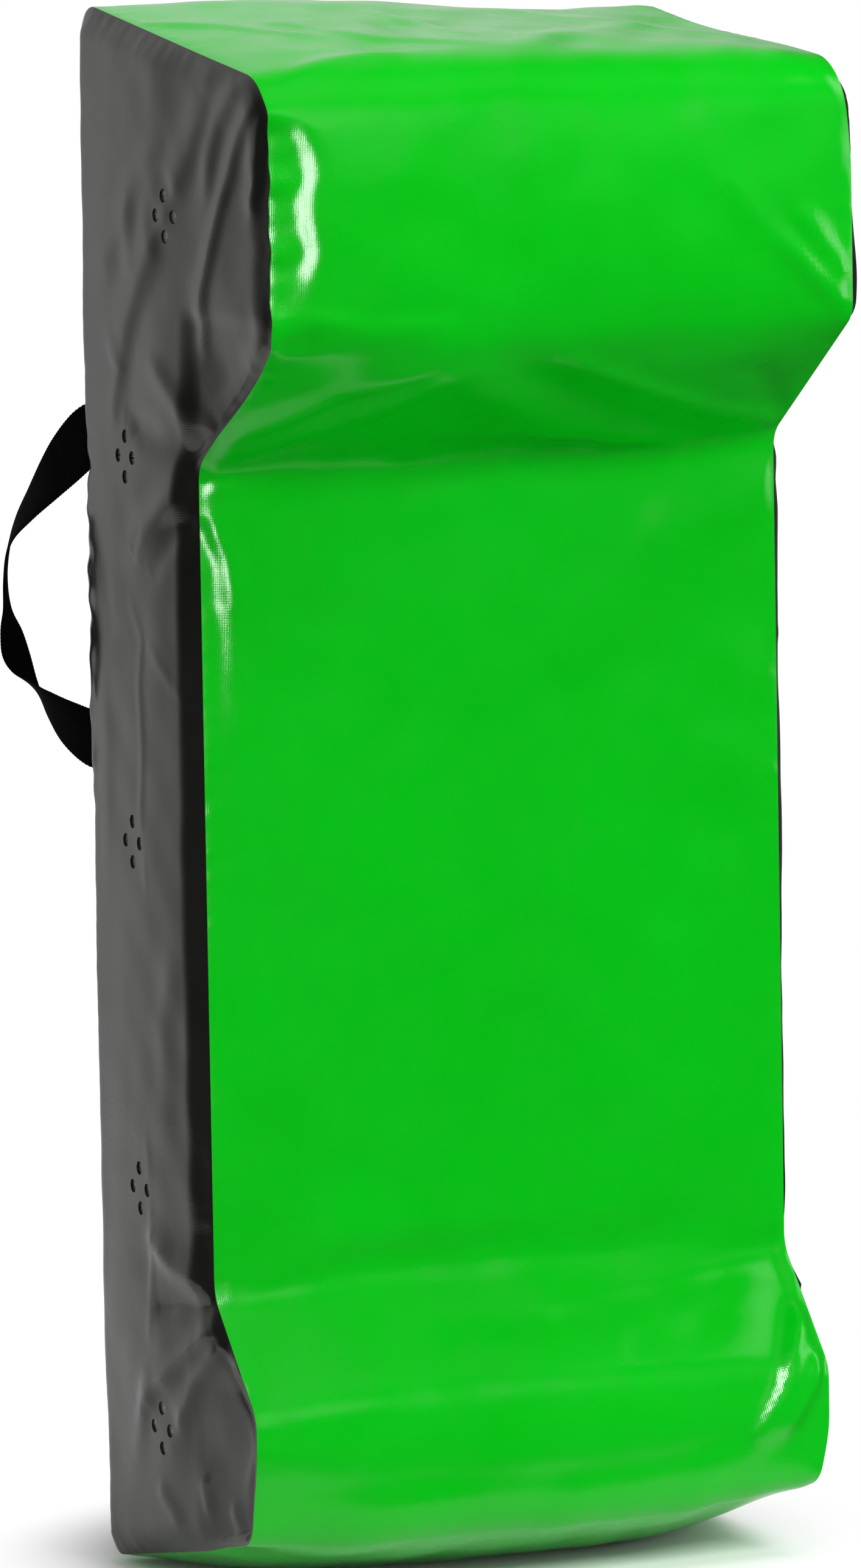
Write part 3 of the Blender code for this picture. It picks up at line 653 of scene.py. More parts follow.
class Sheet:
    """A grid laid out flat, whose points are then set over the form, row by row."""

    def __init__(self, name: str, rows: int, columns: int) -> None:
        """Lays out the grid.

        Args:
            name: The piece's name.
            rows: Faces along it.
            columns: Faces across it.
        """
        Bench.clear()
        bpy.ops.mesh.primitive_grid_add(x_subdivisions=columns, y_subdivisions=rows, size=1.0)
        self.piece = Bench.settle(name)
        flat = np.empty(len(self.piece.data.vertices) * 3, np.float32)
        self.piece.data.vertices.foreach_get("co", flat)
        flat = flat.reshape(-1, 3)
        self.row = np.rint((flat[:, 1] + 0.5) * rows).astype(int)
        self.column = np.rint((flat[:, 0] + 0.5) * columns).astype(int)

    def lay(self, points: Array, flat: Array, outward: Place) -> Piece:
        """Sets the grid's points, its flat coordinates in metres, and the way its faces look.

        Args:
            points: Places, as rows by columns by three.
            flat: Flat coordinates, as rows by columns by two.
            outward: The outward direction at the grid's middle.

        Returns:
            The piece.
        """
        mesh = self.piece.data
        mesh.vertices.foreach_set("co", points[self.row, self.column].astype(np.float32).ravel())
        corners = np.empty(len(mesh.loops), np.int32)
        mesh.loops.foreach_get("vertex_index", corners)
        spread = flat[self.row[corners], self.column[corners]].astype(np.float32)
        mesh.uv_layers.active.data.foreach_set("uv", spread.ravel())
        mesh.update()
        middle = mesh.polygons[len(mesh.polygons) // 2]
        if middle.normal @ Vector(outward) < 0:
            mesh.flip_normals()
        return self.piece


# Curves and fades


def ramp(value: Array, low: float, high: float) -> Array:
    """A soft step from 0 at one value to 1 at the other."""
    share = np.clip((value - low) / (high - low), 0, 1)
    return share * share * (3 - 2 * share)


Fade = tuple[Way, float, float]


def faded(x: Array, y: Array, z: Array, fades: Sequence[Fade]) -> Array:
    """Soft steps along ways of the frame, multiplied.

    Args:
        x: Places' first coordinate.
        y: Their second.
        z: Their third.
        fades: Each step's way, and how far along it the step begins and ends.

    Returns:
        The product at each place, from 0 to 1.
    """
    share = 1.0
    for way, low, high in fades:
        axis, sign = way.value
        share = share * ramp(sign * (x, y, z)[axis], low, high)
    return share


def run_of(line: Array) -> Array:
    """The length run along a line at each of its points."""
    return np.concatenate([[0.0], np.cumsum(np.linalg.norm(np.diff(line, axis=0), axis=1))])


def piled(slope: Array, steps: Array) -> Array:
    """The height that a slope gives at each of its steps."""
    return np.concatenate([[0.0], np.cumsum((slope[1:] + slope[:-1]) / 2 * np.diff(steps))])


def unit(vectors: Array) -> Array:
    """Rows of vectors, each made one long."""
    return vectors / np.linalg.norm(vectors, axis=1)[:, None]


def graded(length: float, count: int, gain: float = 2.2, reach: float = 0.010) -> Array:
    """Places along a length, closer together near both ends.

    Args:
        length: From the first place to the last.
        count: The steps between them.
        gain: How much closer they lie at an end.
        reach: How far from an end that holds.

    Returns:
        The places.
    """
    fine = np.linspace(0, length, 4000)
    density = 1 + gain * (np.exp(-fine / reach) + np.exp(-(length - fine) / reach))
    total = np.concatenate([[0], np.cumsum((density[1:] + density[:-1]) / 2)])
    return np.interp(np.linspace(0, total[-1], count + 1), total, fine)


def normals_of(points: Array) -> Array:
    """Unit normals of a grid of places, by its rows and columns."""
    normal = np.cross(np.gradient(points, axis=1), np.gradient(points, axis=0))
    return normal / np.maximum(np.linalg.norm(normal, axis=2), 1e-12)[..., None]


# The wedge's form


@dataclass(frozen=True)
class Corner:
    """A corner of the seam line, in side view."""

    y: float
    z: float
    radius: float
    crown: float
    bulge: float


@dataclass(frozen=True)
class Sag:
    """A soft shift of a part of the filled cover, in X, Y and Z, and where it fades in."""

    shift: tuple[float, float, float]
    fades: tuple[Fade, ...]


@dataclass(frozen=True)
class Fold:
    """A ridge or crease in a panel, along a line in the panel's own two directions."""

    height: float
    width: float
    lean: float
    crisp: float
    line: tuple[tuple[float, float], ...]

    def heights(self, first: Array, second: Array) -> Array:
        """How far the fold lifts each place of a panel.

        Args:
            first: The places along the panel's first direction.
            second: The places along its second.

        Returns:
            The lift at each place, in metres.
        """
        points = np.array(self.line)
        steps = np.linalg.norm(np.diff(points, axis=0), axis=1)
        total = steps.sum()
        best = np.full(first.shape, 1e9)
        share, way = np.zeros(first.shape), np.zeros(first.shape)
        done = 0.0
        for start, end, step in zip(points, points[1:], steps):
            along = (end - start) / step
            offset_a, offset_b = first - start[0], second - start[1]
            run = np.clip(offset_a * along[0] + offset_b * along[1], 0, step)
            gap_a, gap_b = offset_a - run * along[0], offset_b - run * along[1]
            distance = np.hypot(gap_a, gap_b)
            nearer = distance < best
            best = np.where(nearer, distance, best)
            share = np.where(nearer, (done + run) / total, share)
            way = np.where(nearer, along[0] * gap_b - along[1] * gap_a, way)
            done += step
        width = self.width * (1 + (self.lean - 1) * (0.5 + 0.5 * np.tanh(way / (0.4 * self.width))))
        reach = best / width
        profile = (1 - self.crisp) * np.exp(-(reach**2)) + self.crisp * np.exp(-1.4 * reach)
        taper = np.clip(np.minimum(share, 1 - share) / 0.22, 0, 1)
        return self.height * profile * (0.25 + 0.75 * np.sqrt(taper))


@dataclass(frozen=True)
class Ripple:
    """Soft seeded waves of about one length over a panel, mostly as high as given."""

    height: float
    length: float
    seed: int
    stretch: float = 1.0
    count: int = 28

    def heights(self, first: Array, second: Array) -> Array:
        """How far the waves lift each place of a panel.

        Args:
            first: The places along the panel's first direction.
            second: The places along its second, in which the waves are stretched.

        Returns:
            The lift at each place, in metres.
        """
        chance = np.random.default_rng(self.seed)
        second = second * self.stretch
        total = np.zeros(first.shape)
        for _ in range(self.count):
            angle, phase = chance.uniform(0, math.tau, 2)
            number = math.tau / (self.length * chance.uniform(0.7, 1.5))
            total += np.cos((first * math.cos(angle) + second * math.sin(angle)) * number + phase)
        return self.height * (total / math.sqrt(self.count))


@dataclass
class WedgeForm:
    """The wedge's outline, how full its panels stand, and how the filled cover has settled."""

    height: float = 1.050
    half_width: float = 0.210
    back_y: float = 0.089
    base_lift: float = 0.003
    back_lap: float = 0.026
    lap_fade: float = 0.02
    edge_slope: float = 0.60
    edge_depth: float = 0.020
    gusset_crown: float = 0.004
    end_power: int = 6
    crown_power: float = 4.0
    crown_softness: float = 0.012
    corners: tuple[Corner, ...] = (
        Corner(0.089, 0.003, 0.016, 0.008, 0.0145),
        Corner(-0.153, 0.0455, 0.016, 0.008, 0.002),
        Corner(-0.153, 0.131, 0.024, 0.010, 0.0),
        Corner(-0.089, 0.204, 0.026, 0.006, 0.006),
        Corner(-0.089, 0.753, 0.022, 0.005, 0.004),
        Corner(-0.209, 0.840, 0.018, 0.013, 0.004),
        Corner(-0.209, 1.010, 0.038, 0.009, 0.003),
        Corner(0.089, 1.050, 0.020, 0.001, 0.0),
    )
    # The far top corner droops, the head leans in there and the right foot slumps.
    # The left head, foot and neck turn in.
    sags: tuple[Sag, ...] = (
        Sag((0.0, 0.0, -0.00512), ((Way.RIGHT, -0.13, 0.19), (Way.UP, 0.955, 1.045))),
        Sag((0.0, 0.0, -0.01088), ((Way.RIGHT, -0.13, 0.19), (Way.UP, 0.955, 1.045), (Way.BACK, -0.20, 0.02))),
        Sag((-0.008, 0.0, 0.0), ((Way.RIGHT, 0.12, 0.215), (Way.UP, 0.93, 1.04))),
        Sag((-0.011, 0.0, 0.008), ((Way.RIGHT, 0.10, 0.22), (Way.DOWN, -0.10, -0.02), (Way.FRONT, 0.02, 0.14))),
        Sag((0.002, 0.003, 0.0), ((Way.LEFT, 0.10, 0.21), (Way.UP, 0.88, 1.01), (Way.FRONT, 0.10, 0.20))),
        Sag((0.002, 0.014, 0.0), ((Way.LEFT, 0.10, 0.21), (Way.DOWN, -0.115, -0.045), (Way.FRONT, 0.06, 0.13))),
        Sag((0.0045, 0.0, 0.0), (
            (Way.LEFT, 0.12, 0.21), (Way.FRONT, 0.095, 0.14), (Way.UP, 0.765, 0.808), (Way.DOWN, -0.850, -0.815),
        )),
    )
    # Rows of height, how far the left front edge turns in there, and how far inwards the turn begins.
    turned_edge: tuple[tuple[float, float, float], ...] = (
        (0.110, 0.0, 0.0), (0.130, 0.35, -0.003), (0.146, 0.45, -0.005), (0.158, 0.05, 0.0), (0.200, 0.0, 0.0),
        (0.400, 0.0, -0.008), (0.560, 0.20, -0.006), (0.600, 0.50, -0.008), (0.640, 0.76, -0.007),
        (0.664, 0.92, -0.009), (0.684, 0.74, -0.011), (0.698, 0.92, -0.012), (0.712, 0.98, -0.016),
        (0.722, 0.60, -0.018), (0.732, 0.40, -0.015), (0.742, 0.46, -0.012), (0.750, 0.20, -0.012),
        (0.800, 0.0, 0.0), (0.860, 0.0, 0.0), (0.876, 0.35, -0.002), (0.888, 0.80, 0.000), (0.900, 0.95, 0.003),
        (0.912, 0.90, 0.001), (0.926, 0.84, -0.001), (0.938, 0.88, 0.000), (0.950, 0.98, 0.003),
        (0.962, 0.96, 0.002), (0.974, 0.84, -0.002), (0.984, 0.50, -0.005), (1.000, 0.0, 0.0),
    )
    turn_start: float = 0.176
    turn_steps: tuple[float, ...] = (0.0, 0.003, 0.007, 0.013, 0.020, 0.034)
    turn_slopes: tuple[float, ...] = (0.0, 0.12, 0.34, 0.34, 0.05, 0.02)
    turn_inwards: float = 0.47
    head_low: float = 0.80
    step: float = 0.0005
    places: Array = field(init=False)
    crowns: Array = field(init=False)
    lengths: Array = field(init=False)
    outward: Array = field(init=False)
    front_start: float = field(init=False)
    front_end: float = field(init=False)

    def __post_init__(self) -> None:
        """Draws the seam line at fine steps."""
        start = np.array((self.back_y, self.base_lift + self.back_lap))
        finish = np.array((self.back_y, self.height - self.back_lap))
        stops = [start] + [np.array((c.y, c.z)) for c in self.corners] + [finish]
        points, crowns, turns = [start], [0.0], []
        last = len(self.corners) - 1
        for index, corner in enumerate(self.corners):
            arc = self.arc(*stops[index : index + 3], corner.radius)
            before, after = float(index > 0), float(index < last)
            turns.append(len(points) + len(arc) // 2)
            points += list(arc)
            crowns += list(np.linspace(before, after, len(arc)) * corner.crown)
            if index < last:
                following = self.corners[index + 1]
                target = self.arc(*stops[index + 1 : index + 4], following.radius)[0]
                shares = np.linspace(0, 1, 60)[1:-1]
                points += [arc[-1] + (target - arc[-1]) * share for share in shares]
                rise = corner.crown + (following.crown - corner.crown) * shares
                crowns += list(rise + corner.bulge * 4 * shares * (1 - shares))
        rough = np.array(points + [finish])
        run = run_of(rough)
        self.lengths = np.arange(0.0, run[-1], self.step)
        self.places = np.column_stack([np.interp(self.lengths, run, rough[:, k]) for k in (0, 1)])
        self.crowns = self.softened(np.interp(self.lengths, run, np.array(crowns + [0.0])), self.crown_softness)
        self.crowns *= ramp(self.lengths, 0.0, self.lap_fade)
        self.crowns *= ramp(self.lengths[-1] - self.lengths, 0.0, self.lap_fade)
        tangents = unit(np.gradient(self.places, axis=0))
        self.outward = np.column_stack([-tangents[:, 1], tangents[:, 0]])
        self.front_start, self.front_end = run[turns[1]], run[turns[6]]

    @staticmethod
    def arc(before: Array, corner: Array, after: Array, radius: float) -> Array:
        """The arc that rounds a corner.

        Args:
            before: A point on the line into the corner.
            corner: The corner.
            after: A point on the line out of it.
            radius: The arc's.

        Returns:
            Points along the arc.
        """
        into = (corner - before) / np.linalg.norm(corner - before)
        out = (after - corner) / np.linalg.norm(after - corner)
        turn = math.atan2(into[0] * out[1] - into[1] * out[0], float(into @ out))
        reach = radius * math.tan(abs(turn) / 2)
        side = np.array((-into[1], into[0])) * math.copysign(1.0, turn)
        centre = corner - into * reach + side * radius
        angles = np.linspace(0, abs(turn), 24)[:, None]
        return centre - side * radius * np.cos(angles) + into * radius * np.sin(angles)

    def softened(self, values: Array, reach: float) -> Array:
        """Values along the seam line, smoothed over a reach."""
        count = int(3 * reach / self.step)
        weights = np.exp(-0.5 * (np.arange(-count, count + 1) * self.step / reach) ** 2)
        padded = np.pad(values, count, mode="edge")
        return np.convolve(padded, weights / weights.sum(), mode="valid")

    def along(self, run: Array) -> tuple[Array, Array, Array]:
        """The seam line's places, crowns and outward directions at these lengths."""
        places = np.column_stack([np.interp(run, self.lengths, self.places[:, k]) for k in (0, 1)])
        outward = np.column_stack([np.interp(run, self.lengths, self.outward[:, k]) for k in (0, 1)])
        return places, np.interp(run, self.lengths, self.crowns), unit(outward)

    def settled(self, points: Array) -> Array:
        """Moves places as the filled cover has settled.

        Args:
            points: Places on the cover, whose last axis is X, Y and Z.

        Returns:
            Where they lie once settled, no lower than the floor.
        """
        x, y, z = points[..., 0], points[..., 1], points[..., 2]
        moved = points.copy()
        for sag in self.sags:
            moved += faded(x, y, z, sag.fades)[..., None] * np.array(sag.shift)
        turned = self.turned(x, y, z)
        moved[..., 0] += self.turn_inwards * turned
        moved[..., 1] += turned + self.wavered(x, y, z)
        moved[..., 2] = np.maximum(moved[..., 2], 0.0)
        return moved

    def turned(self, x: Array, y: Array, z: Array) -> Array:
        """How far the left front edge turns in at these places."""
        heights, strengths, shifts = np.array(self.turned_edge).T
        steps = np.linspace(0, self.turn_steps[-1], 200)
        drop = piled(np.interp(steps, self.turn_steps, self.turn_slopes), steps)
        turned = np.interp(-x - self.turn_start + np.interp(z, heights, shifts), steps, drop)
        near = np.where(z > self.head_low, ramp(-y, 0.10, 0.18), ramp(-y, 0.03, 0.085))
        return turned * np.interp(z, heights, strengths) * near

    @staticmethod
    def wavered(x: Array, y: Array, z: Array) -> Array:
        """How far the head's left seam wavers to and fro."""
        waver = 0.0012 * np.sin(z * 131.0) + 0.0008 * np.sin(z * 283.0 + 1.0)
        return waver * faded(x, y, z, ((Way.LEFT, 0.185, 0.21), (Way.UP, 0.83, 0.86), (Way.FRONT, 0.14, 0.19)))


# The cover


def folds(*rows: tuple[float, ...]) -> tuple[Fold, ...]:
    """Folds from rows: height and width in millimetres, lean, crispness, then the line's points in millimetres."""
    made = []
    for height, width, lean, crisp, *line in rows:
        points = tuple((first / 1000, second / 1000) for first, second in zip(line[::2], line[1::2]))
        made.append(Fold(height / 1000, width / 1000, lean, crisp, points))
    return tuple(made)


# The green strip's folds lie by X and the length along the seam, a gusset's by Y and Z.
FRONT_FOLDS = folds(
    (-2.2, 13, 1.5, 0, -212, 985, -136, 981, -4, 979, 152, 978, 212, 986),
    (5.4, 18, 1.5, 0, -212, 986, -178, 1021, -128, 1066, -75, 1120),
    (5.6, 20, 0.9, 0, -78, 1122, -20, 1070, 19, 1034, 152, 986),
    (-1.6, 13, 1, 0, -60, 1014, 39, 996, 152, 985),
    (4, 12, 0.7, 0.1, -3, 1122, 100, 1066, 209, 1001),
    (-2.2, 11, 1, 0, -10, 1100, 68, 1048, 151, 994),
    (-4, 10, 1, 0, 158, 1090, 205, 1008),
    (2.4, 9, 1.4, 0, -212, 1020, -150, 1090, -80, 1135),
    (2, 5, 1, 0, -210, 973, -185, 972),
    (2, 8, 1, 0, -212, 955, -190, 925, -185, 890),
    (3.6, 26, 1, 0, 30, 850, 120, 915, 212, 962),
    (2.8, 14, 1.3, 0, -200, 436, -175, 452, -124, 470, -57, 474, 30, 476),
    (-3, 15, 1.4, 0, 212, 438, 116, 415, 35, 402, -40, 400),
    (1.2, 10, 1, 0, -205, 340, -120, 346, 0, 350, 140, 346, 205, 342),
    (8.8, 6.8, 1.8, 0, 204, 392, 190, 360, 172, 328, 150, 298),
    (6.6, 5.6, 1.6, 0, 206, 356, 194, 334, 178, 312, 166, 300),
    (-1.4, 10, 1, 0, -191, 292, -92, 292, 14, 288, 89, 292, 167, 308),
    (1.8, 8, 1, 0, -42, 1500, -32, 1434, -27, 1380),
    (2, 8, 1, 0, -210, 1505, -165, 1459, -131, 1400),
    (2, 9, 1, 0, -134, 1466, -96, 1390, -41, 1350),
    (2.2, 10, 1, 0, 60, 1520, 110, 1440, 190, 1380),
    (-2.5, 5, 1, 0, -212, 1128, -179, 1136),
    (2.2, 7, 1, 0, -190, 1150, -146, 1140, -83, 1141),
    (1.6, 10, 1, 0, 205, 1150, 150, 1180, 110, 1230),
    (-1.8, 16, 1, 0, -120, 1330, -60, 1400, -40, 1480),
    (2.2, 16, 1, 0, 0, 1340, 60, 1400, 140, 1440),
    (2, 9, 1, 0, -188, 1305, -150, 1325, -100, 1330),
    (3.4, 7, 1.4, 0.1, 165, 1205, 184, 1182, 207, 1160),
    (3, 6.5, 1.4, 0.1, 150, 1190, 176, 1160, 203, 1138),
)

LEFT_FOLDS = folds(
    (3.8, 6, 2, 0.45, -199, 1000, -174, 967, -149, 927, -132, 897, -119, 870, -111, 828),
    (3.4, 5.5, 1.7, 0.4, -207, 990, -198, 952, -193, 925),
    (2.6, 8.5, 1.5, 0, -170, 1005, -145, 982, -132, 958, -125, 930),
    (4.2, 12, 1.7, 0, -122, 996, -103, 963, -72, 930, -52, 900, -27, 874, -1, 840, 10, 810),
    (2, 13, 1, 0, -67, 966, -15, 934, 5, 904, 40, 877),
    (1.6, 10, 1, 0, -8, 924, -10, 900, -12, 875),
    (1.6, 9, 1, 0, 30, 841, 10, 810, 24, 777),
    (3.4, 8, 1.5, 0.2, -38, 822, -54, 815, -86, 795, -118, 778),
    (2.8, 8, 1.4, 0, -204, 866, -191, 836, -160, 806, -122, 784),
    (-3.6, 10, 1.3, 0, -112, 764, -57, 768, 3, 778),
    (3.6, 9.5, 1.5, 0.1, -108, 754, -74, 734, -31, 708, -10, 688),
    (-1.8, 9, 1, 0, -92, 722, -60, 700, -35, 680),
    (0.9, 4.5, 1, 0.2, -1, 659, -18, 634, -13, 604, -16, 560, -12, 520, -20, 470),
    (0.8, 4.5, 1, 0, -27, 634, -62, 608, -89, 600),
    (5.8, 7, 2, 0.6, -109, 190, -86, 176, -63, 161, -26, 137, 4, 112),
    (5.4, 6.8, 1.9, 0.6, -113, 184, -100, 166, -80, 149, -55, 117, -36, 95),
    (5.6, 8.5, 1.8, 0.3, -103, 206, -75, 212, -48, 218, -13, 235),
    (-3.4, 8.5, 1, 0, -96, 198, -50, 196, -20, 190),
    (1.8, 7, 1, 0, -132, 166, -146, 140, -143, 104, -136, 80),
    (2, 11, 1, 0, -9, 146, -1, 118, 19, 79),
    (0.9, 5, 1, 0, -12, 300, -16, 230, -10, 165),
    (2.6, 7, 1, 0, -17, 68, -46, 46),
    (2.6, 7, 1, 0, -79, 82, -87, 58),
    (2.6, 6, 1, 0, -118, 68, -128, 50),
    (-3, 16, 1, 0, -60, 110, -105, 100, -138, 112),
    (1.2, 12, 1, 0, 50, 470, 46, 560, 53, 650),
    (1.2, 14, 1, 0, -60, 430, -40, 380, -45, 310),
)


@dataclass(frozen=True)
class Gathers:
    """Small puckers that the stitching leaves beside a seam: two beats that drift and come and go."""

    height: float = 0.0004
    beats: tuple[float, float] = (0.0135, 0.0223)
    drifts: tuple[tuple[float, float], ...] = ((0.004, 37.0), (0.003, 91.0))
    coming: float = 17.0
    reach: float = 0.008
    clear: float = 0.0025

    def heights(self, run: Array, distance: Array, seed: int) -> Array:
        """How far the puckers lift each place.

        Args:
            run: Where along the seam the places lie.
            distance: How far from it they lie.
            seed: Sets one seam's puckers apart from another's.

        Returns:
            The lift at each place, in metres.
        """
        (slow, slow_rate), (quick, quick_rate) = self.drifts
        beat = run + slow * np.sin(run * slow_rate + seed) + quick * np.sin(run * quick_rate + 2 * seed)
        short, long = self.beats
        gathers = np.sin(beat * math.tau / short) + 0.6 * np.sin(beat * math.tau / long + seed)
        strength = 0.5 + 0.5 * np.sin(run * self.coming + seed * 1.3)
        fade = np.exp(-distance / self.reach) * (1 - np.exp(-((distance / self.clear) ** 2)))
        return self.height * gathers * strength * fade


@dataclass(frozen=True)
class GussetPlan:
    """What sets one gusset apart: the seed of its waves, its gathers, and the parts where its edge rolls less."""

    seed: int
    gathers: float
    slack: tuple[tuple[float, tuple[Fade, ...]], ...]


ROLLED_ALIKE = (
    (0.5, ((Way.DOWN, -0.26, -0.16), (Way.FRONT, 0.02, 0.08))),
    (0.10, ((Way.BACK, 0.02, 0.07),)),
)
HEAD_FRONT = ((Way.UP, 0.78, 0.86), (Way.FRONT, 0.04, 0.12))
NECK_SEAM = ((Way.UP, 0.756, 0.780), (Way.DOWN, -0.862, -0.845), (Way.FRONT, 0.085, 0.105))
GUSSETS = {
    Side.LEFT: GussetPlan(11, 1.0, (*ROLLED_ALIKE, (0.50, HEAD_FRONT), (0.75, NECK_SEAM))),
    Side.RIGHT: GussetPlan(17, 0.4, (*ROLLED_ALIKE, (0.30, HEAD_FRONT))),
}


@dataclass
class Cover:
    """The sewn cover: a green strip round the front, two black gussets and a black back."""

    form: WedgeForm
    paints: Paintbox
    ends: int = 80
    front: int = 292
    columns: int = 96
    sheet: float = 0.0007
    fill: float = 0.85
    slot_half: float = 0.0062
    slot_low: float = 0.110
    slot_high: float = 0.930
    roll_height: float = 0.0005
    roll_reach: float = 0.006
    middle_softness: float = 0.014
    gathers: Gathers = Gathers()
    strip_ripples: tuple[Ripple, ...] = (Ripple(0.0011, 0.16, 3, 0.8), Ripple(0.00045, 0.055, 5))
    back_ripple: Ripple = Ripple(0.0006, 0.14, 23)
    back_hollow: float = 0.0009
    gusset_folding: float = 0.76
    gusset_tilt: float = 0.14
    tilt_start: float = -0.070
    right_bulge: tuple[float, float, float] = (0.004, 0.866, 0.030)
    ragged_band: tuple[float, float] = (0.010, 0.012)
    vent_radius: float = 0.0046
    vent_half_height: float = 0.0135
    vent_half_depth: float = 0.012
    vent_heights: tuple[float, ...] = (0.103, 0.253, 0.474, 0.718, 0.873)
    vent_depths: tuple[float, ...] = (0.48, 0.49, 0.49, 0.48, 0.52)
    strap_heights: tuple[float, ...] = (0.553, 0.764)

    def __post_init__(self) -> None:
        """Places the rows and columns that the panels share along their seams."""
        form = self.form
        low = graded(form.front_start, self.ends)
        middle = form.front_start + graded(form.front_end - form.front_start, self.front)
        high = form.front_end + graded(form.lengths[-1] - form.front_end, self.ends)
        self.runs = np.concatenate([low, middle[1:], high[1:]])
        self.across = graded(2 * form.half_width, self.columns) - form.half_width
        for edge in (-self.slot_half, self.slot_half):
            self.across[int(np.argmin(abs(self.across - edge)))] = edge
        self.seam, self.crowns, self.outward = form.along(self.runs)
        self.seam[:, 1] = np.maximum(self.seam[:, 1], 0.0)
        self.back_z = self.back_heights()

    def back_heights(self) -> Array:
        """Heights of the back's rows, with one at each end of the zip's slot."""
        front = self.seam[self.ends : self.ends + self.front + 1, 1]
        shares = (front - front[0]) / (front[-1] - front[0])
        heights = self.seam[0, 1] + shares * (self.seam[-1, 1] - self.seam[0, 1])
        for end in (self.slot_low, self.slot_high):
            heights[1 + int(np.argmin(abs(heights[1:-1] - end)))] = end
        return heights

    def front_points(self) -> tuple[Array, Array]:
        """The green strip's places, and its flat coordinates."""
        form = self.form
        x = np.broadcast_to(self.across[None, :], (len(self.runs), len(self.across)))
        run = np.broadcast_to(self.runs[:, None], x.shape)
        edge = form.half_width - abs(x)
        end_gap = np.minimum(run, form.lengths[-1] - run)
        side_near = 1 - np.minimum(edge / self.roll_reach, 1.0)
        end_near = 1 - np.minimum(end_gap / self.roll_reach, 1.0)
        fullness = 1 - (abs(x) / form.half_width) ** form.crown_power
        lift = self.crowns[:, None] * fullness + self.roll_height * (1 - side_near**2) * (1 - end_near**2)
        softened = [form.softened(form.places[:, k], self.middle_softness) for k in (0, 1)]
        rounded = np.column_stack([np.interp(self.runs, form.lengths, line) for line in softened])
        share = (1 - (abs(x) / form.half_width) ** 6) * ramp(end_gap, 0.01, 0.05)
        path = self.seam[:, None, :] + (rounded - self.seam)[:, None, :] * share[..., None]
        sides = path + self.outward[:, None, :] * lift[..., None]
        points = np.concatenate([x[..., None], sides], axis=2)
        normal = normals_of(points)
        if normal[len(self.runs) // 2, len(self.across) // 2, 1] > 0:
            normal = -normal
        inner = ramp(edge, 0.0, 0.012)
        calm = inner * (1 - 0.6 * ramp(-x, 0.14, 0.18))
        height = sum(fold.heights(x, run) for fold in FRONT_FOLDS) * inner
        height += sum(ripple.heights(x, run) for ripple in self.strip_ripples) * calm
        height += self.gathers.heights(run, edge, 1)
        height *= ramp(end_gap, 0.0, 0.02)
        return form.settled(points + normal * height[..., None]), np.stack([x, run], axis=2)

    def gusset_flat(self) -> tuple[Array, Array, Array]:
        """A gusset laid flat.

        Returns:
            Its places as Y and Z, and how far each lies from the back and from the foot, as shares.
        """
        form = self.form
        low = self.seam[: self.ends + 1]
        front = self.seam[self.ends : self.ends + self.front + 1]
        high = self.seam[self.ends + self.front :][::-1]
        back = np.column_stack([np.full(self.front + 1, form.back_y), self.back_z])
        shares, bends = [], []
        for end in (low, high):
            run = run_of(end)
            shares.append(run / run[-1])
            bends.append(end - (end[0] + (end[-1] - end[0]) * shares[-1][:, None]))
        v = ((front[:, 1] - front[0, 1]) / (front[-1, 1] - front[0, 1]))[:, None]
        u = (1 - v) * shares[0][None, :] + v * shares[1][None, :]
        bend = (1 - v[..., None]) ** form.end_power * bends[0] + v[..., None] ** form.end_power * bends[1]
        return back[:, None, :] + (front - back)[:, None, :] * u[..., None] + bend, u, v

    def gusset_points(self, side: Side) -> tuple[Array, Array]:
        """A gusset's places, and its flat coordinates.

        Args:
            side: The pad's side that it closes.

        Returns:
            Places and flat coordinates, both as rows by columns.
        """
        form, plan = self.form, GUSSETS[side]
        flat, u, v = self.gusset_flat()
        y, z = flat[..., 0], flat[..., 1]
        distance, run = self.edge_distance(flat)
        steps = np.linspace(0, form.edge_depth, 120)
        slope = form.edge_slope * (1 - ramp(steps, form.edge_depth * 0.45, form.edge_depth))
        roll = np.interp(distance, steps, piled(slope, steps))
        plane = side.value * form.half_width
        for amount, fades in plan.slack:
            roll = roll * (1 - amount * faded(plane, y, z, fades))
        swell = form.gusset_crown * (1 - (2 * u - 1) ** 2) * (1 - (2 * v - 1) ** 8)
        tilt = self.gusset_tilt * np.maximum(self.tilt_start - y, 0.0)
        tilt *= ramp(-z, -0.20, -0.14) * ramp(distance, 0.0, 0.012)
        inner = ramp(distance, 0.0, 0.007)
        height = self.gusset_folds(side, y, z) * inner * self.off_vents(y, z) * self.gusset_folding
        height += Ripple(0.0006, 0.13, plan.seed, 0.7).heights(y, z) * inner
        height += Ripple(0.00022, 0.045, plan.seed + 1).heights(y, z) * inner
        height += self.gathers.heights(run, distance, 2 + side.value) * plan.gathers
        inset, wide = self.ragged_band
        ragged = np.exp(-(((y - form.back_y + inset) / wide) ** 2))
        ragged *= ramp(z, 0.48, 0.54) * ramp(-z, -0.80, -0.74) * inner
        height += Ripple(0.0011, 0.026, plan.seed + 2).heights(y, z) * ragged
        x = side.value * (form.half_width + roll + swell - tilt + height)
        x[0], x[-1], x[:, 0], x[:, -1] = (plane,) * 4
        return form.settled(np.stack([x, y, z], axis=2)), flat

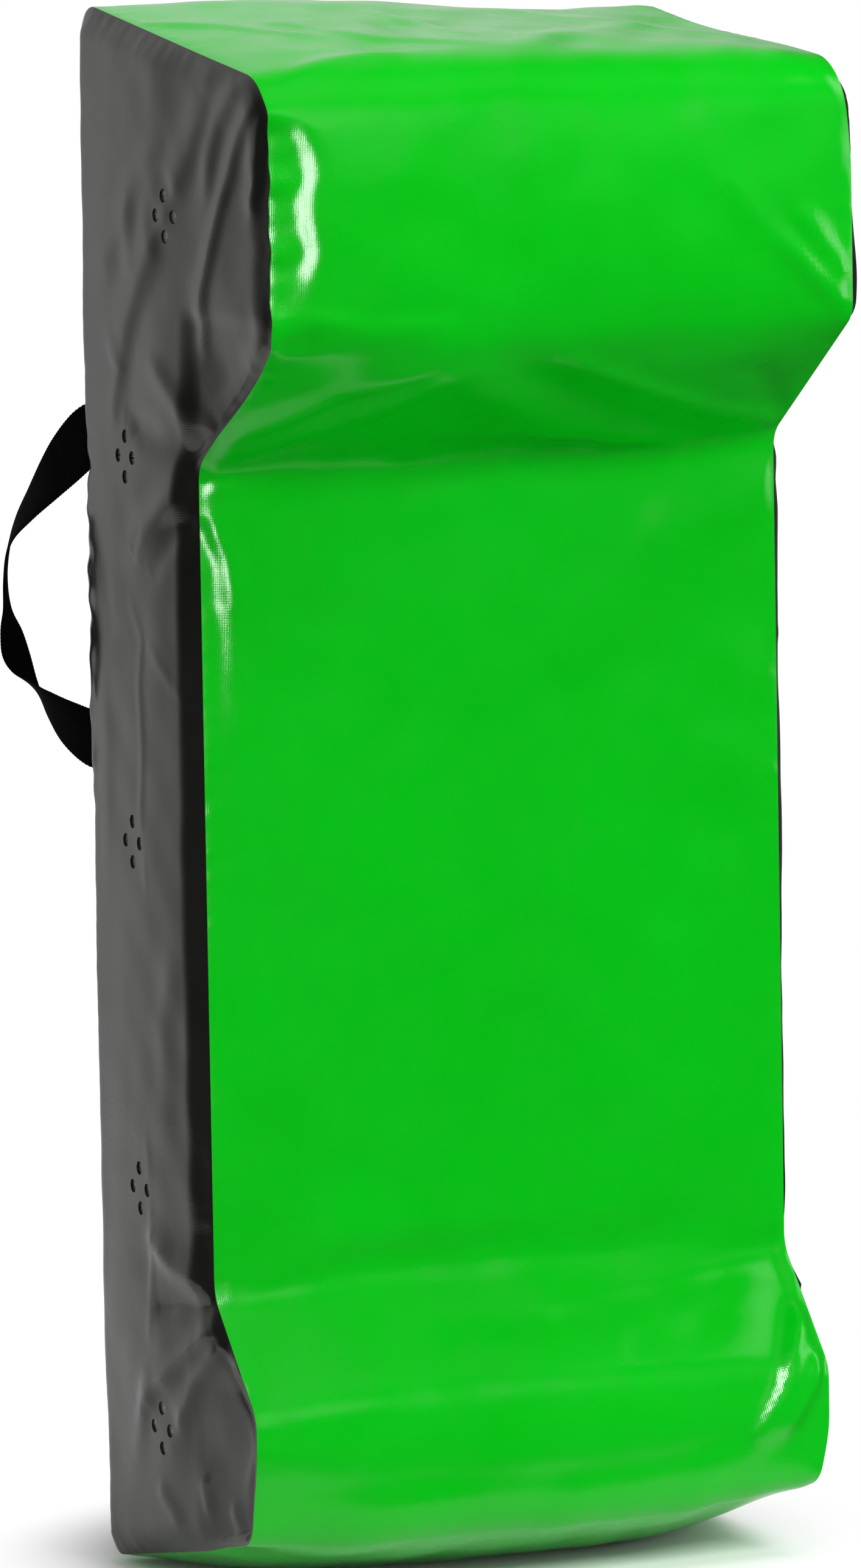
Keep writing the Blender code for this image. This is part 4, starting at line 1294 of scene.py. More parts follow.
    def gusset_folds(self, side: Side, y: Array, z: Array) -> Array:
        """A gusset's folds: those of the left side, and for the right side a choice of them, moved about.

        Args:
            side: The pad's side.
            y: The places' Y.
            z: Their Z.

        Returns:
            The lift at each place, in metres.
        """
        if side is Side.LEFT:
            return sum(fold.heights(y, z) for fold in LEFT_FOLDS)
        height = sum(fold.heights(y * 1.04 + 0.006, z - 0.012) for fold in LEFT_FOLDS[1::2])
        height += sum(fold.heights(y - 0.010, z + 0.016) for fold in LEFT_FOLDS[0:14:3])
        bulge, middle, reach = self.right_bulge
        return height + bulge * np.exp(-(((z - middle) / reach) ** 2)) * ramp(-y, 0.08, 0.17)

    def edge_distance(self, flat: Array) -> tuple[Array, Array]:
        """How far each place of a gusset is from its seam, and where along the seam that is."""
        form = self.form
        fine_back = np.linspace(form.places[-1, 1], form.places[0, 1], 1600)
        back = np.column_stack([np.full(len(fine_back), form.back_y), fine_back])
        outline = np.vstack([form.places, back])
        run = np.concatenate([form.lengths, form.lengths[-1] + np.linspace(0, 1, len(back))])
        tree = KDTree(len(outline))
        for index, (y, z) in enumerate(outline):
            tree.insert((y, max(z, 0.0), 0.0), index)
        tree.balance()
        found = [tree.find((y, z, 0.0)) for y, z in flat.reshape(-1, 2)]
        distance = np.array([hit[2] for hit in found]).reshape(flat.shape[:2])
        where = np.array([run[hit[1]] for hit in found]).reshape(flat.shape[:2])
        distance[0], distance[-1], distance[:, 0], distance[:, -1] = (0.0,) * 4
        return distance, where

    def vents(self) -> list[tuple[float, float]]:
        """The middles of a gusset's vent holes, as Y and Z."""
        form = self.form
        front = form.places[(form.places[:, 0] < 0.0) & (form.lengths > form.front_start)]
        front = front[: int(np.argmax(front[:, 1]))]
        holes = []
        for height_share, depth_share in zip(self.vent_heights, self.vent_depths):
            z = form.height * height_share
            edge = float(np.interp(z, front[:, 1], front[:, 0]))
            y = form.back_y + (edge - form.back_y) * depth_share
            holes += [
                (y + step_y * self.vent_half_depth, z + step_z * self.vent_half_height)
                for step_y, step_z in ((0, 1), (0, -1), (1, 0), (-1, 0))
            ]
        return holes

    def off_vents(self, y: Array, z: Array) -> Array:
        """Less than 1 near the vents, where the sheet lies on the foam."""
        share = np.ones(y.shape)
        for hole_y, hole_z in self.vents():
            share = np.minimum(share, ramp(np.hypot(y - hole_y, z - hole_z), 0.006, 0.022) * 0.75 + 0.25)
        return share

    def back_points(self) -> tuple[Array, Array]:
        """The back panel's places, and its flat coordinates."""
        form = self.form
        x = np.broadcast_to(self.across[None, :], (self.front + 1, len(self.across)))
        z = np.broadcast_to(self.back_z[:, None], x.shape)
        edge = np.minimum(form.half_width - abs(x), np.minimum(z - self.back_z[0], self.back_z[-1] - z))
        free = ramp(edge, 0.0, 0.02) * ramp(abs(x), 0.018, 0.030) * self.off_straps(x, z)
        height = (self.back_ripple.heights(x, z) - self.back_hollow) * free
        y = form.back_y + np.minimum(height, 0.0) + self.gathers.heights(z + x, edge, 7) * 0.6
        return form.settled(np.stack([x, y, z], axis=2)), np.stack([x, z], axis=2)

    def off_straps(self, x: Array, z: Array) -> Array:
        """0 under the sewn patches of the handles, and 1 away from them."""
        share = np.ones(x.shape)
        for middle in self.strap_heights:
            away = np.maximum(ramp(abs(z - middle), 0.030, 0.045), ramp(-abs(x), -0.138, -0.125))
            share = np.minimum(share, away)
        return share

    def panels(self, front: str, back: str, sides: str) -> list[Piece]:
        """The four panels as single sheets: front, back, left and right.

        Args:
            front: The strip's name.
            back: The back panel's name.
            sides: What the gussets' names begin with.

        Returns:
            The pieces.
        """
        last = len(self.runs) - 1
        made = [
            Sheet(front, last, self.columns).lay(*self.front_points(), (0.0, -1.0, 0.0)),
            Sheet(back, self.front, self.columns).lay(*self.back_points(), (0.0, 1.0, 0.0)),
        ]
        for side in Side:
            panel = Sheet(f"{sides}_{side.word}", self.front, self.ends)
            made.append(panel.lay(*self.gusset_points(side), (side.value, 0.0, 0.0)))
        return made

    def make(self) -> None:
        """Makes the four panels, with the zip's slot and the vents, and puts them on the pad."""
        front, back, *gussets = self.panels("green_strip", "back_panel", "side_panel")
        with Bench.editing(back, self.in_slot):
            bpy.ops.mesh.delete(type="FACE")
        for panel in (front, back, *gussets):
            Bench.modify(panel, "SOLIDIFY", thickness=self.sheet, offset=-1.0, use_rim=True)
        for side, panel in zip(Side, gussets):
            Bench.cut(panel, self.vent_punch(side))
        plans = [(front, GREEN_SHEET, "cover_front_panel"), (back, BLACK_SHEET, "cover_back_panel")]
        plans += [(panel, BLACK_SHEET, f"cover_gusset_{side.word}") for side, panel in zip(Side, gussets)]
        for panel, finish, node in plans:
            self.paints.dress(Bench.smooth(panel, 50.0), finish, node, fill=self.fill)

    def in_slot(self, face: bpy.types.MeshPolygon) -> bool:
        """Whether a face of the back panel lies in the zip's slot."""
        return abs(face.center.x) < self.slot_half and self.slot_low < face.center.z < self.slot_high

    def vent_punch(self, side: Side) -> Piece:
        """The punch for a gusset's vents: one round bar for each hole."""
        middle = side.value * (self.form.half_width + 0.008)
        bars = [Bench.rod("vent_punch", self.vent_radius, 0.036, 20, (middle, y, z)) for y, z in self.vents()]
        return Bench.join("vent_punch", bars)


@dataclass
class Filling:
    """The foam inside: a firm slab at the back and three softer blocks before it."""

    cover: Cover
    paints: Paintbox
    front_inset: float = 0.0065
    side_inset: float = 0.0026
    back_inset: float = 0.0022
    slab_front: float = 0.029
    waist_low: float = 0.204
    waist_high: float = 0.753
    gap: float = 0.0008
    channel: Line = ((-0.0195, 0.0834, 0.0957), (0.0195, 0.12, 0.9443))

    def shell(self) -> Piece:
        """The filling's outside as one closed mesh, a little inside the cover."""
        form = self.cover.form
        coarse = Cover(form, self.paints, ends=20, front=74, columns=24)
        parts = coarse.panels("filling_front", "filling_back", "filling_side")
        shell = Bench.outwards(Bench.join("filling_shell", parts), 0.0004)
        mesh = shell.data
        normals = np.array([tuple(point.normal) for point in mesh.vertices])
        places = np.array([tuple(point.co) for point in mesh.vertices])
        depth = np.full(len(places), self.front_inset)
        depth[abs(places[:, 0]) > form.half_width + 0.001] = self.side_inset
        depth[places[:, 1] > form.back_y - 0.002] = self.back_inset
        mesh.vertices.foreach_set("co", (places - normals * depth[:, None]).astype(np.float32).ravel())
        mesh.update()
        return shell

    def block(self, shell: Piece, name: str, cuts: Sequence[Line]) -> Piece:
        """A copy of the shell, cut by planes.

        Args:
            shell: The filling's outside.
            name: The piece's name.
            cuts: A place on each plane, and the way from it to what is kept.

        Returns:
            The piece.
        """
        piece = Bench.add(name, shell.data.copy())
        piece.data.name = name
        for place, kept in cuts:
            with Bench.editing(piece, lambda face: True):
                bpy.ops.mesh.bisect(plane_co=place, plane_no=kept, use_fill=True, clear_inner=True)
        return Bench.outwards(piece)

    def make(self) -> None:
        """Cuts the four foam pieces and puts them on the pad."""
        shell = self.shell()
        before_slab = ((0.0, self.slab_front - self.gap, 0.0), (0.0, -1.0, 0.0))
        up, down = (0.0, 0.0, 1.0), (0.0, 0.0, -1.0)
        plans = {
            "slab": (GREY_FOAM, "foam_back_slab", [((0.0, self.slab_front, 0.0), (0.0, 1.0, 0.0))]),
            "foot": (TAN_FOAM, "foam_foot_block", [before_slab, ((0.0, 0.0, self.waist_low - self.gap), down)]),
            "waist": (TAN_FOAM, "foam_waist_block", [
                before_slab, ((0.0, 0.0, self.waist_low), up), ((0.0, 0.0, self.waist_high), down),
            ]),
            "head": (TAN_FOAM, "foam_head_block", [before_slab, ((0.0, 0.0, self.waist_high + self.gap), up)]),
        }
        for word, (finish, node, cuts) in plans.items():
            piece = self.block(shell, f"foam_{word}", cuts)
            if word == "slab":
                Bench.cut(piece, Bench.block("zip_channel", *self.channel))
            self.paints.dress(Bench.smooth(piece), finish, node, fill=1.0)
        bpy.data.objects.remove(shell, do_unlink=True)


# Sewing


@dataclass
class Stitching:
    """Rows of stitches: one is modelled, then copied. Its ends' shape is given as shares of its radius."""

    paints: Paintbox
    length: float = 0.0030
    gap: float = 0.0008
    radius: float = 0.00032
    end_rim: float = 0.45
    end_bulge: float = 0.25
    end_dip: float = 1.1

    def stitch(self) -> tuple[Array, list[tuple[int, ...]]]:
        """One stitch, a short thread whose ends dip into the sheet.

        Returns:
            Its points, along X and about the origin, and its faces.
        """
        stitch = Bench.rod("stitch", self.radius, self.length, 6)
        with Bench.editing(stitch, lambda face: abs(face.normal.x) > 0.9):
            bpy.ops.mesh.inset(thickness=self.radius * self.end_rim, depth=self.radius * self.end_bulge)
        for point in stitch.data.vertices:
            point.co.z -= self.radius * self.end_dip * (abs(point.co.x) / (self.length / 2)) ** 4
        points = np.array([tuple(point.co) for point in stitch.data.vertices])
        faces = [tuple(face.vertices) for face in stitch.data.polygons]
        bpy.data.objects.remove(stitch, do_unlink=True)
        return points, faces

    def sew(self, name: str, lines: Sequence[Line]) -> None:
        """Copies the stitch along straight lines on the pad's back, as one piece.

        Args:
            name: The piece's name.
            lines: Start and end of each line, at the face that it is sewn on.
        """
        base, faces = self.stitch()
        points, polygons = [], []
        out = np.array((0.0, 1.0, 0.0))
        for start, end in np.array(lines, float):
            reach = np.linalg.norm(end - start)
            way = (end - start) / reach
            placed = base[:, :1] * way + base[:, 1:2] * np.cross(out, way) + base[:, 2:] * out
            count = max(int(round(reach / (self.length + self.gap))), 1)
            for number in range(count):
                first = len(points) * len(base)
                points.append(start + (end - start) * ((number + 0.5) / count) + placed)
                polygons += [tuple(first + index for index in face) for face in faces]
        mesh = bpy.data.meshes.new(name)
        mesh.from_pydata([tuple(point) for point in np.vstack(points)], [], polygons)
        piece = Bench.outwards(Bench.add(name, mesh))
        self.paints.dress(Bench.smooth(piece, 60.0), BLACK_THREAD)


@dataclass
class Handle:
    """One webbing handle: a standing loop, and at each end a sewn tab on a backing patch."""

    side: Side
    paints: Paintbox
    stitching: Stitching
    width: float = 0.040
    thickness: float = 0.0018
    middle: float = 0.6585
    span: float = 0.211
    reach: float = 0.088
    rest_degrees: float = 60.0
    fold_x: float = 0.195
    fold_y: float = 0.0933
    patch_y: float = 0.0893
    sheet: float = 0.0007
    tab_y: float = 0.0903
    tab_length: float = 0.045
    tab_overlap: float = 0.0015
    tab_rows: int = 57
    patch_width: float = 0.062
    patch_height: float = 0.058
    patch_corner: float = 0.006
    patch_hem: float = 0.0035
    box_inset: float = 0.005
    box_edge: float = 0.004
    scallop: float = 0.00022
    scallop_pitch: float = 0.0024
    around: int = 28
    flatness: tuple[float, float] = (0.34, 0.6)
    belly: float = 0.18
    rows: int = 420
    # Rows of the loop's route: share of the reach, share of the span, and degrees of twist.
    route: tuple[tuple[float, float, float], ...] = (
        (0.000, 0.000, 0.0), (0.090, 0.006, 0.0), (0.215, 0.034, 4.0), (0.400, 0.102, 14.0),
        (0.570, 0.172, 28.0), (0.735, 0.246, 42.0), (0.885, 0.322, 52.0), (0.965, 0.398, 56.0),
        (1.000, 0.493, 56.0), (0.990, 0.590, 60.0), (0.955, 0.665, 74.0), (0.910, 0.742, 80.0),
        (0.830, 0.804, 72.0), (0.715, 0.852, 55.0), (0.600, 0.898, 40.0), (0.430, 0.948, 22.0),
        (0.225, 0.988, 6.0), (0.090, 0.999, 0.0), (0.000, 1.000, 0.0),
    )

    def loop_line(self) -> tuple[Array, Array, Array, Array]:
        """The standing loop's line.

        Returns:
            Its places, its width and face directions, and the length run at each row.
        """
        sign = self.side.value
        angle = math.radians(self.rest_degrees)
        reach_way = np.array((sign * math.cos(angle), math.sin(angle), 0.0))
        plane = np.cross((0.0, 0.0, 1.0), reach_way) * -sign
        route = self.smoothed(np.array(self.route))
        axis = np.array((sign * self.fold_x, self.fold_y, self.middle + self.span / 2))
        drop = np.array((0.0, 0.0, -self.span))
        line = axis + np.outer(route[:, 0] * self.reach, reach_way) + np.outer(route[:, 1], drop)
        run = run_of(line)
        even = np.linspace(0, run[-1], self.rows + 1)
        line = np.column_stack([np.interp(even, run, line[:, k]) for k in range(3)])
        turn = np.radians(np.interp(even, run, route[:, 2]))[:, None]
        tangent = np.gradient(line, axis=0)
        tangent[0], tangent[-1] = reach_way, -reach_way
        tangent = unit(tangent)
        flat = unit(np.cross(tangent, plane) * sign)
        wide = flat * np.cos(turn) + plane * np.sin(turn)
        return line, wide, unit(np.cross(tangent, wide)), even

    @staticmethod
    def smoothed(route: Array) -> Array:
        """The route's rows with smooth ones between them."""
        rows = []
        padded = np.vstack([route[:1], route, route[-1:]])
        for before, start, end, after in zip(padded, padded[1:], padded[2:], padded[3:]):
            for share in np.linspace(0, 1, 24, endpoint=False):
                rows.append(0.5 * (
                    2 * start + (end - before) * share
                    + (2 * before - 5 * start + 4 * end - after) * share**2
                    + (3 * start - before - 3 * end + after) * share**3
                ))
        return np.array(rows + [route[-1]])

    def strap(self, name: str, line: Array, wide: Array, face: Array, run: Array) -> Piece:
        """A strap along a line: a flat oval section, with the weave's scallops on its edges.

        Args:
            name: The piece's name.
            line: The strap's middle, row by row.
            wide: The direction of its width at each row.
            face: The direction that its face looks at each row.
            run: The length run at each row.

        Returns:
            The piece.
        """
        angles = np.linspace(0, math.tau, self.around + 1)
        waves = zip((np.cos(angles), np.sin(angles)), self.flatness)
        across, through = (np.sign(wave) * abs(wave) ** power for wave, power in waves)
        scallop = self.scallop * (np.sin(run * math.tau / self.scallop_pitch) - 1)[:, None]
        out_wide = (self.width / 2 + scallop * (abs(across) ** 8)[None, :]) * across[None, :]
        half_face = self.thickness / 2 * through * (1 - self.belly * abs(across) ** 6)
        out_face = np.broadcast_to(half_face, out_wide.shape)
        points = line[:, None, :] + out_wide[..., None] * wide[:, None, :] + out_face[..., None] * face[:, None, :]
        flat_wide = np.broadcast_to(across[None, :] * self.width / 2, out_wide.shape)
        flat = np.stack([flat_wide, np.broadcast_to(run[:, None], out_wide.shape)], axis=2)
        piece = Sheet(name, len(run) - 1, self.around).lay(points, flat, face[len(run) // 2])
        Bench.outwards(piece)
        with Bench.editing(piece, lambda edge: False, Parts.EDGES):
            bpy.ops.mesh.select_non_manifold(extend=False, use_wire=False, use_multi_face=False, use_verts=False)
            bpy.ops.mesh.edge_face_add()
        return Bench.smooth(Bench.outwards(piece), 60.0)

    def sewn_end(self, word: str, height: float) -> None:
        """Makes a sewn end: the patch, the tab on it, and their stitches.

        Args:
            word: Upper or lower.
            height: The tab's middle.
        """
        sign, name = self.side.value, f"{self.side.word}_{word}"
        outer = sign * (self.fold_x + self.tab_overlap)
        inner = outer - sign * self.tab_length
        middle = (outer + inner) / 2
        half_wide, half_high, face_y = self.patch_width / 2, self.patch_height / 2, self.patch_y + self.sheet
        patch = Bench.patch(
            f"backing_patch_{name}", (middle - half_wide, self.patch_y, height - half_high),
            (middle + half_wide, face_y, height + half_high), self.patch_corner,
        )
        self.paints.dress(patch, BLACK_SHEET, f"handle_{self.side.word}_patch_{word}")
        run = np.linspace(0, self.tab_length, self.tab_rows)
        line = np.tile((0.0, self.tab_y + self.thickness / 2, height), (self.tab_rows, 1))
        line[:, 0] = outer - sign * run
        wide, face = (np.tile(way, (self.tab_rows, 1)) for way in ((0.0, 0.0, 1.0), (0.0, 1.0, 0.0)))
        tab = self.strap(f"sewn_tab_{name}", line, wide, face, run)
        self.paints.dress(tab, STRAP, f"handle_{self.side.word}_tab_{word}")
        top = self.tab_y + self.thickness
        left, right = min(outer, inner) + self.box_inset, max(outer, inner) - self.box_inset
        low, high = height - self.width / 2 + self.box_edge, height + self.width / 2 - self.box_edge
        box = rectangle((left, low), (right, high), top)
        cross = [((left, top, low), (right, top, high)), ((left, top, high), (right, top, low))]
        self.stitching.sew(f"tab_stitches_{name}", box + cross)
        wide_in, high_in = half_wide - self.patch_hem, half_high - self.patch_hem
        hem = rectangle((middle - wide_in, height - high_in), (middle + wide_in, height + high_in), face_y)
        self.stitching.sew(f"patch_stitches_{name}", hem)

    def make(self) -> None:
        """Makes the loop and both sewn ends."""
        word = self.side.word
        loop = self.strap(f"handle_strap_{word}", *self.loop_line())
        self.paints.dress(loop, STRAP, f"handle_{word}_loop", f"handle_{word}")
        self.sewn_end("upper", self.middle + self.span / 2)
        self.sewn_end("lower", self.middle - self.span / 2)


@dataclass
class BackZip:
    """The zip in the back: tapes, coil rows, stops, slider, pull, and a patch over each end."""

    paints: Paintbox
    stitching: Stitching
    slot_half: float = 0.0062
    slot_low: float = 0.110
    slot_high: float = 0.930
    tape_face: float = 0.088
    tape_thickness: float = 0.0008
    tape_inner: float = 0.0041
    tape_outer: float = 0.0192
    tape_lap: float = 0.014
    row_inner: float = 0.0003
    row_outer: float = 0.0038
    row_low: float = 0.118
    row_high: float = 0.922
    row_thickness: float = 0.0022
    turn_pitch: float = 0.0016
    turn_wire: float = 0.42
    stop_length: float = 0.005
    stop_gap: float = 0.0003
    stop_rim: float = 0.0008
    stop_sunk: float = 0.0002
    sheet: float = 0.0007
    seam_face: float = 0.089
    seam_reaches: tuple[float, float] = (0.0026, 0.0092)
    seam_end: float = 0.003
    back_face: float = 0.0893
    patch_half: float = 0.023
    patch_height: float = 0.030
    patch_lap: float = 0.004
    patch_corner: float = 0.005
    patch_hem: float = 0.0032
    slider_middle: float = 0.129
    slider_length: float = 0.022
    slider_width: float = 0.011
    slider_play: float = 0.0003
    plate: float = 0.0012
    post_half: float = 0.0005
    post_sunk: float = 0.0004
    post_start: float = 0.002
    post_end: float = 0.001
    ear_inner: float = 0.0032
    ear_outer: float = 0.0044
    ear_half: float = 0.0017
    ear_height: float = 0.0042
    pin_y: float = 0.0927
    pin_radius: float = 0.0008
    pin_length: float = 0.0086
    eye_width: float = 0.0058
    eye_radius: float = 0.0019
    bore_radius: float = 0.0011
    neck_top: float = 0.0009
    neck_low: float = 0.0053
    neck_inset: float = 0.0004
    pull_top: float = 0.0037
    pull_length: float = 0.034
    pull_width: float = 0.010
    pull_thickness: float = 0.0016
    pull_corner: float = 0.0034
    pull_rim: float = 0.0012
    pull_slope: float = 0.0003
    pull_sunk: float = 0.00035
    pull_waist: float = 0.30

    @property
    def row_middle(self) -> float:
        """The depth of the rows' middle."""
        return self.tape_face - self.tape_thickness / 2

    def tapes(self) -> None:
        """Makes the two woven tapes, with a corded inner edge."""
        back, front = self.tape_face - self.tape_thickness, self.tape_face
        for side in Side:
            left, right = sorted((side.value * self.tape_inner, side.value * self.tape_outer))
            tape = Bench.block(
                f"twill_tape_{side.word}",
                (left, back, self.slot_low - self.tape_lap), (right, front, self.slot_high + self.tape_lap),
            )
            self.paints.dress(Bench.soften(tape, 0.0002), TAPE, f"zip_tape_{side.word}")

    def rows(self) -> None:
        """Makes the two coil rows: one turn, copied up the slot."""
        outermost = 1.0 + self.turn_wire
        middle, half = (self.row_outer + self.row_inner) / 2, (self.row_outer - self.row_inner) / 2
        for side in Side:
            Bench.clear()
            bpy.ops.mesh.primitive_torus_add(
                major_segments=8, minor_segments=4, major_radius=1.0, minor_radius=self.turn_wire
            )
            turn = Bench.settle(f"coil_row_{side.word}")
            offset = self.turn_pitch / 2 if side is Side.RIGHT else 0.0
            for point in turn.data.vertices:
                x, y, z = point.co
                point.co = (
                    side.value * middle + x * half / outermost,
                    self.row_middle + y * self.row_thickness / 2 / outermost,
                    self.row_low + self.turn_pitch * 0.5 + offset + z * self.turn_pitch * 0.9,
                )
            Bench.modify(
                turn, "ARRAY", count=int((self.row_high - self.row_low - offset) / self.turn_pitch),
                use_relative_offset=False, use_constant_offset=True,
                constant_offset_displace=(0.0, 0.0, self.turn_pitch),
            )
            self.paints.dress(Bench.smooth(turn, 80.0), COIL, f"zip_row_{side.word}")

    def stops(self) -> None:
        """Makes the crimped stops at both ends."""
        half = self.row_thickness / 2
        lows = {"lower": self.row_low - self.stop_gap - self.stop_length, "upper": self.row_high + self.stop_gap}
        for word, low in lows.items():
            stop = Bench.block(
                f"crimped_stop_{word}", (-self.row_outer, self.row_middle - half, low),
                (self.row_outer, self.row_middle + half, low + self.stop_length),
            )
            with Bench.editing(stop, lambda face: face.normal.y > 0.9):
                bpy.ops.mesh.inset(thickness=self.stop_rim, depth=-self.stop_sunk)
            self.paints.dress(Bench.soften(stop, 0.0004, 3), PLATED, f"zip_stop_{word}")

    def slider(self) -> None:
        """Makes the slider: flared upper and lower plates, a post between them, and the bridge for the pull."""
        z, half_length, half_width = self.slider_middle, self.slider_length / 2, self.slider_width / 2
        top = self.row_middle + self.row_thickness / 2 + self.slider_play
        under = self.row_middle - self.row_thickness / 2 - self.slider_play
        parts = []
        for low in (top, under - self.plate):
            plate = Bench.block(
                "slider_plate", (-half_width, low, z - half_length), (half_width, low + self.plate, z + half_length)
            )
            with Bench.editing(plate, lambda face: abs(face.normal.y) > 0.9):
                bpy.ops.mesh.subdivide(number_cuts=3)
            for point in plate.data.vertices:
                share = (point.co.z - z) / half_length
                point.co.x *= 0.86 + 0.14 * min(max(share + 0.5, 0.0), 1.0) - 0.10 * max(share - 0.5, 0.0)
            parts.append(Bench.soften(plate, 0.00035, 3))
        parts.append(Bench.block(
            "slider_post", (-self.post_half, under - self.post_sunk, z + self.post_start),
            (self.post_half, top + self.post_sunk, z + half_length - self.post_end),
        ))
        for side in Side:
            left, right = sorted((side.value * self.ear_inner, side.value * self.ear_outer))
            ear = Bench.block(
                "slider_ear", (left, top + self.plate / 2, z - self.ear_half),
                (right, top + self.plate + self.ear_height, z + self.ear_half),
            )
            parts.append(Bench.soften(ear, 0.0004, 3))
        pin = Bench.rod("slider_pin", self.pin_radius, self.pin_length, 16, (0.0, self.pin_y, z))
        parts.append(Bench.soften(pin, 0.0002))
        self.paints.dress(Bench.join("slider", parts), PLATED, "zip_slider", "slider")

    def pull(self) -> None:
        """Makes the pull: an eye round the pin, a neck, and a waisted tab with a sunk panel and a rim."""
        y, z, half = self.pin_y, self.slider_middle, self.pull_thickness / 2
        low, high = z - self.pull_length, z - self.pull_top
        tab = Bench.block(
            "pull_tab", (-self.pull_width / 2, y - half, low), (self.pull_width / 2, y + half, high)
        )
        Bench.round_corners(tab, self.pull_corner)
        with Bench.editing(tab, lambda face: abs(face.normal.y) > 0.9):
            bpy.ops.mesh.inset(thickness=self.pull_rim)
            bpy.ops.mesh.inset(thickness=self.pull_slope, depth=-self.pull_sunk)
        for point in tab.data.vertices:
            share = min(max((point.co.z - low) / (high - low) * 1.1 - 0.1, 0.0), 1.0)
            point.co.x *= 1.0 - self.pull_waist * math.sin(math.pi * share) ** 2
        Bench.soften(tab, 0.00018)
        neck_half = self.eye_width / 2 - self.neck_inset
        neck = Bench.block(
            "pull_neck", (-neck_half, y - half * 0.9, z - self.neck_low),
            (neck_half, y + half * 0.9, z - self.neck_top),
        )
        Bench.soften(neck, 0.0003)
        eye = Bench.rod("pull_eye", self.eye_radius, self.eye_width, 24, (0.0, y, z))
        Bench.cut(eye, Bench.rod("pull_bore", self.bore_radius, self.eye_width * 1.4, 20, (0.0, y, z)))
        Bench.soften(eye, 0.0002)
        self.paints.dress(Bench.join("zip_tab", [tab, neck, eye]), PLATED, "zip_pull", "pull")

    def end_patches(self) -> None:
        """Makes the patches over the slot's ends, each sewn round."""
        face = self.back_face + self.sheet
        lows = {
            "lower": self.slot_low + self.patch_lap - self.patch_height,
            "upper": self.slot_high - self.patch_lap,
        }
        for word, low in lows.items():
            patch = Bench.patch(
                f"end_patch_{word}", (-self.patch_half, self.back_face, low),
                (self.patch_half, face, low + self.patch_height), self.patch_corner,
            )
            self.paints.dress(patch, BLACK_SHEET, f"zip_patch_{word}")
            half, high = self.patch_half - self.patch_hem, low + self.patch_height - self.patch_hem
            self.stitching.sew(
                f"end_patch_stitches_{word}", rectangle((-half, low + self.patch_hem), (half, high), face)
            )

    def slot_seams(self) -> None:
        """Sews the tapes in, beside the slot."""
        lines = []
        for side in Side:
            for reach in self.seam_reaches:
                x = side.value * (self.slot_half + reach)
                ends = (self.slot_low + self.seam_end, self.slot_high - self.seam_end)
                lines.append(tuple((x, self.seam_face, z) for z in ends))
        self.stitching.sew("slot_stitches", lines)

    def make(self) -> None:
        """Makes the whole zip."""
        for step in (self.tapes, self.rows, self.stops, self.slider, self.pull, self.end_patches, self.slot_seams):
            step()


# Studio


@dataclass(frozen=True)
class Softbox:
    """A soft lamp that looks at the pad: where it stands, its size and its power."""

    name: str
    azimuth: float
    elevation: float
    distance: float
    width: float
    height: float
    watts: float
    gloss_only: bool = False
    only: str = ""

    def place(self, target: Vector) -> None:
        """Sets the lamp up.

        Args:
            target: What it looks at.
        """
        lamp = bpy.data.lights.new(self.name, "AREA")
        lamp.shape = "RECTANGLE"
        lamp.size, lamp.size_y = self.width, self.height
        lamp.energy = self.watts
        stand = Bench.add(self.name, lamp)
        way = toward(self.azimuth, self.elevation)
        stand.visible_glossy = self.gloss_only
        stand.visible_diffuse = not self.gloss_only
        stand.location = target + way * self.distance
        stand.rotation_euler = (-way).to_track_quat("-Z", "Y").to_euler()
        if self.only:
            lit = bpy.data.collections.new(f"{self.name}_receives")
            lit.objects.link(bpy.data.objects[self.only])
            stand.light_linking.receiver_collection = lit


def toward(azimuth: float, elevation: float) -> Vector:
    """The way from the pad to something seen at these degrees, 0 being straight before its face."""
    turn, lift = math.radians(azimuth), math.radians(elevation)
    return Vector((math.sin(turn) * math.cos(lift), -math.cos(turn) * math.cos(lift), math.sin(lift)))


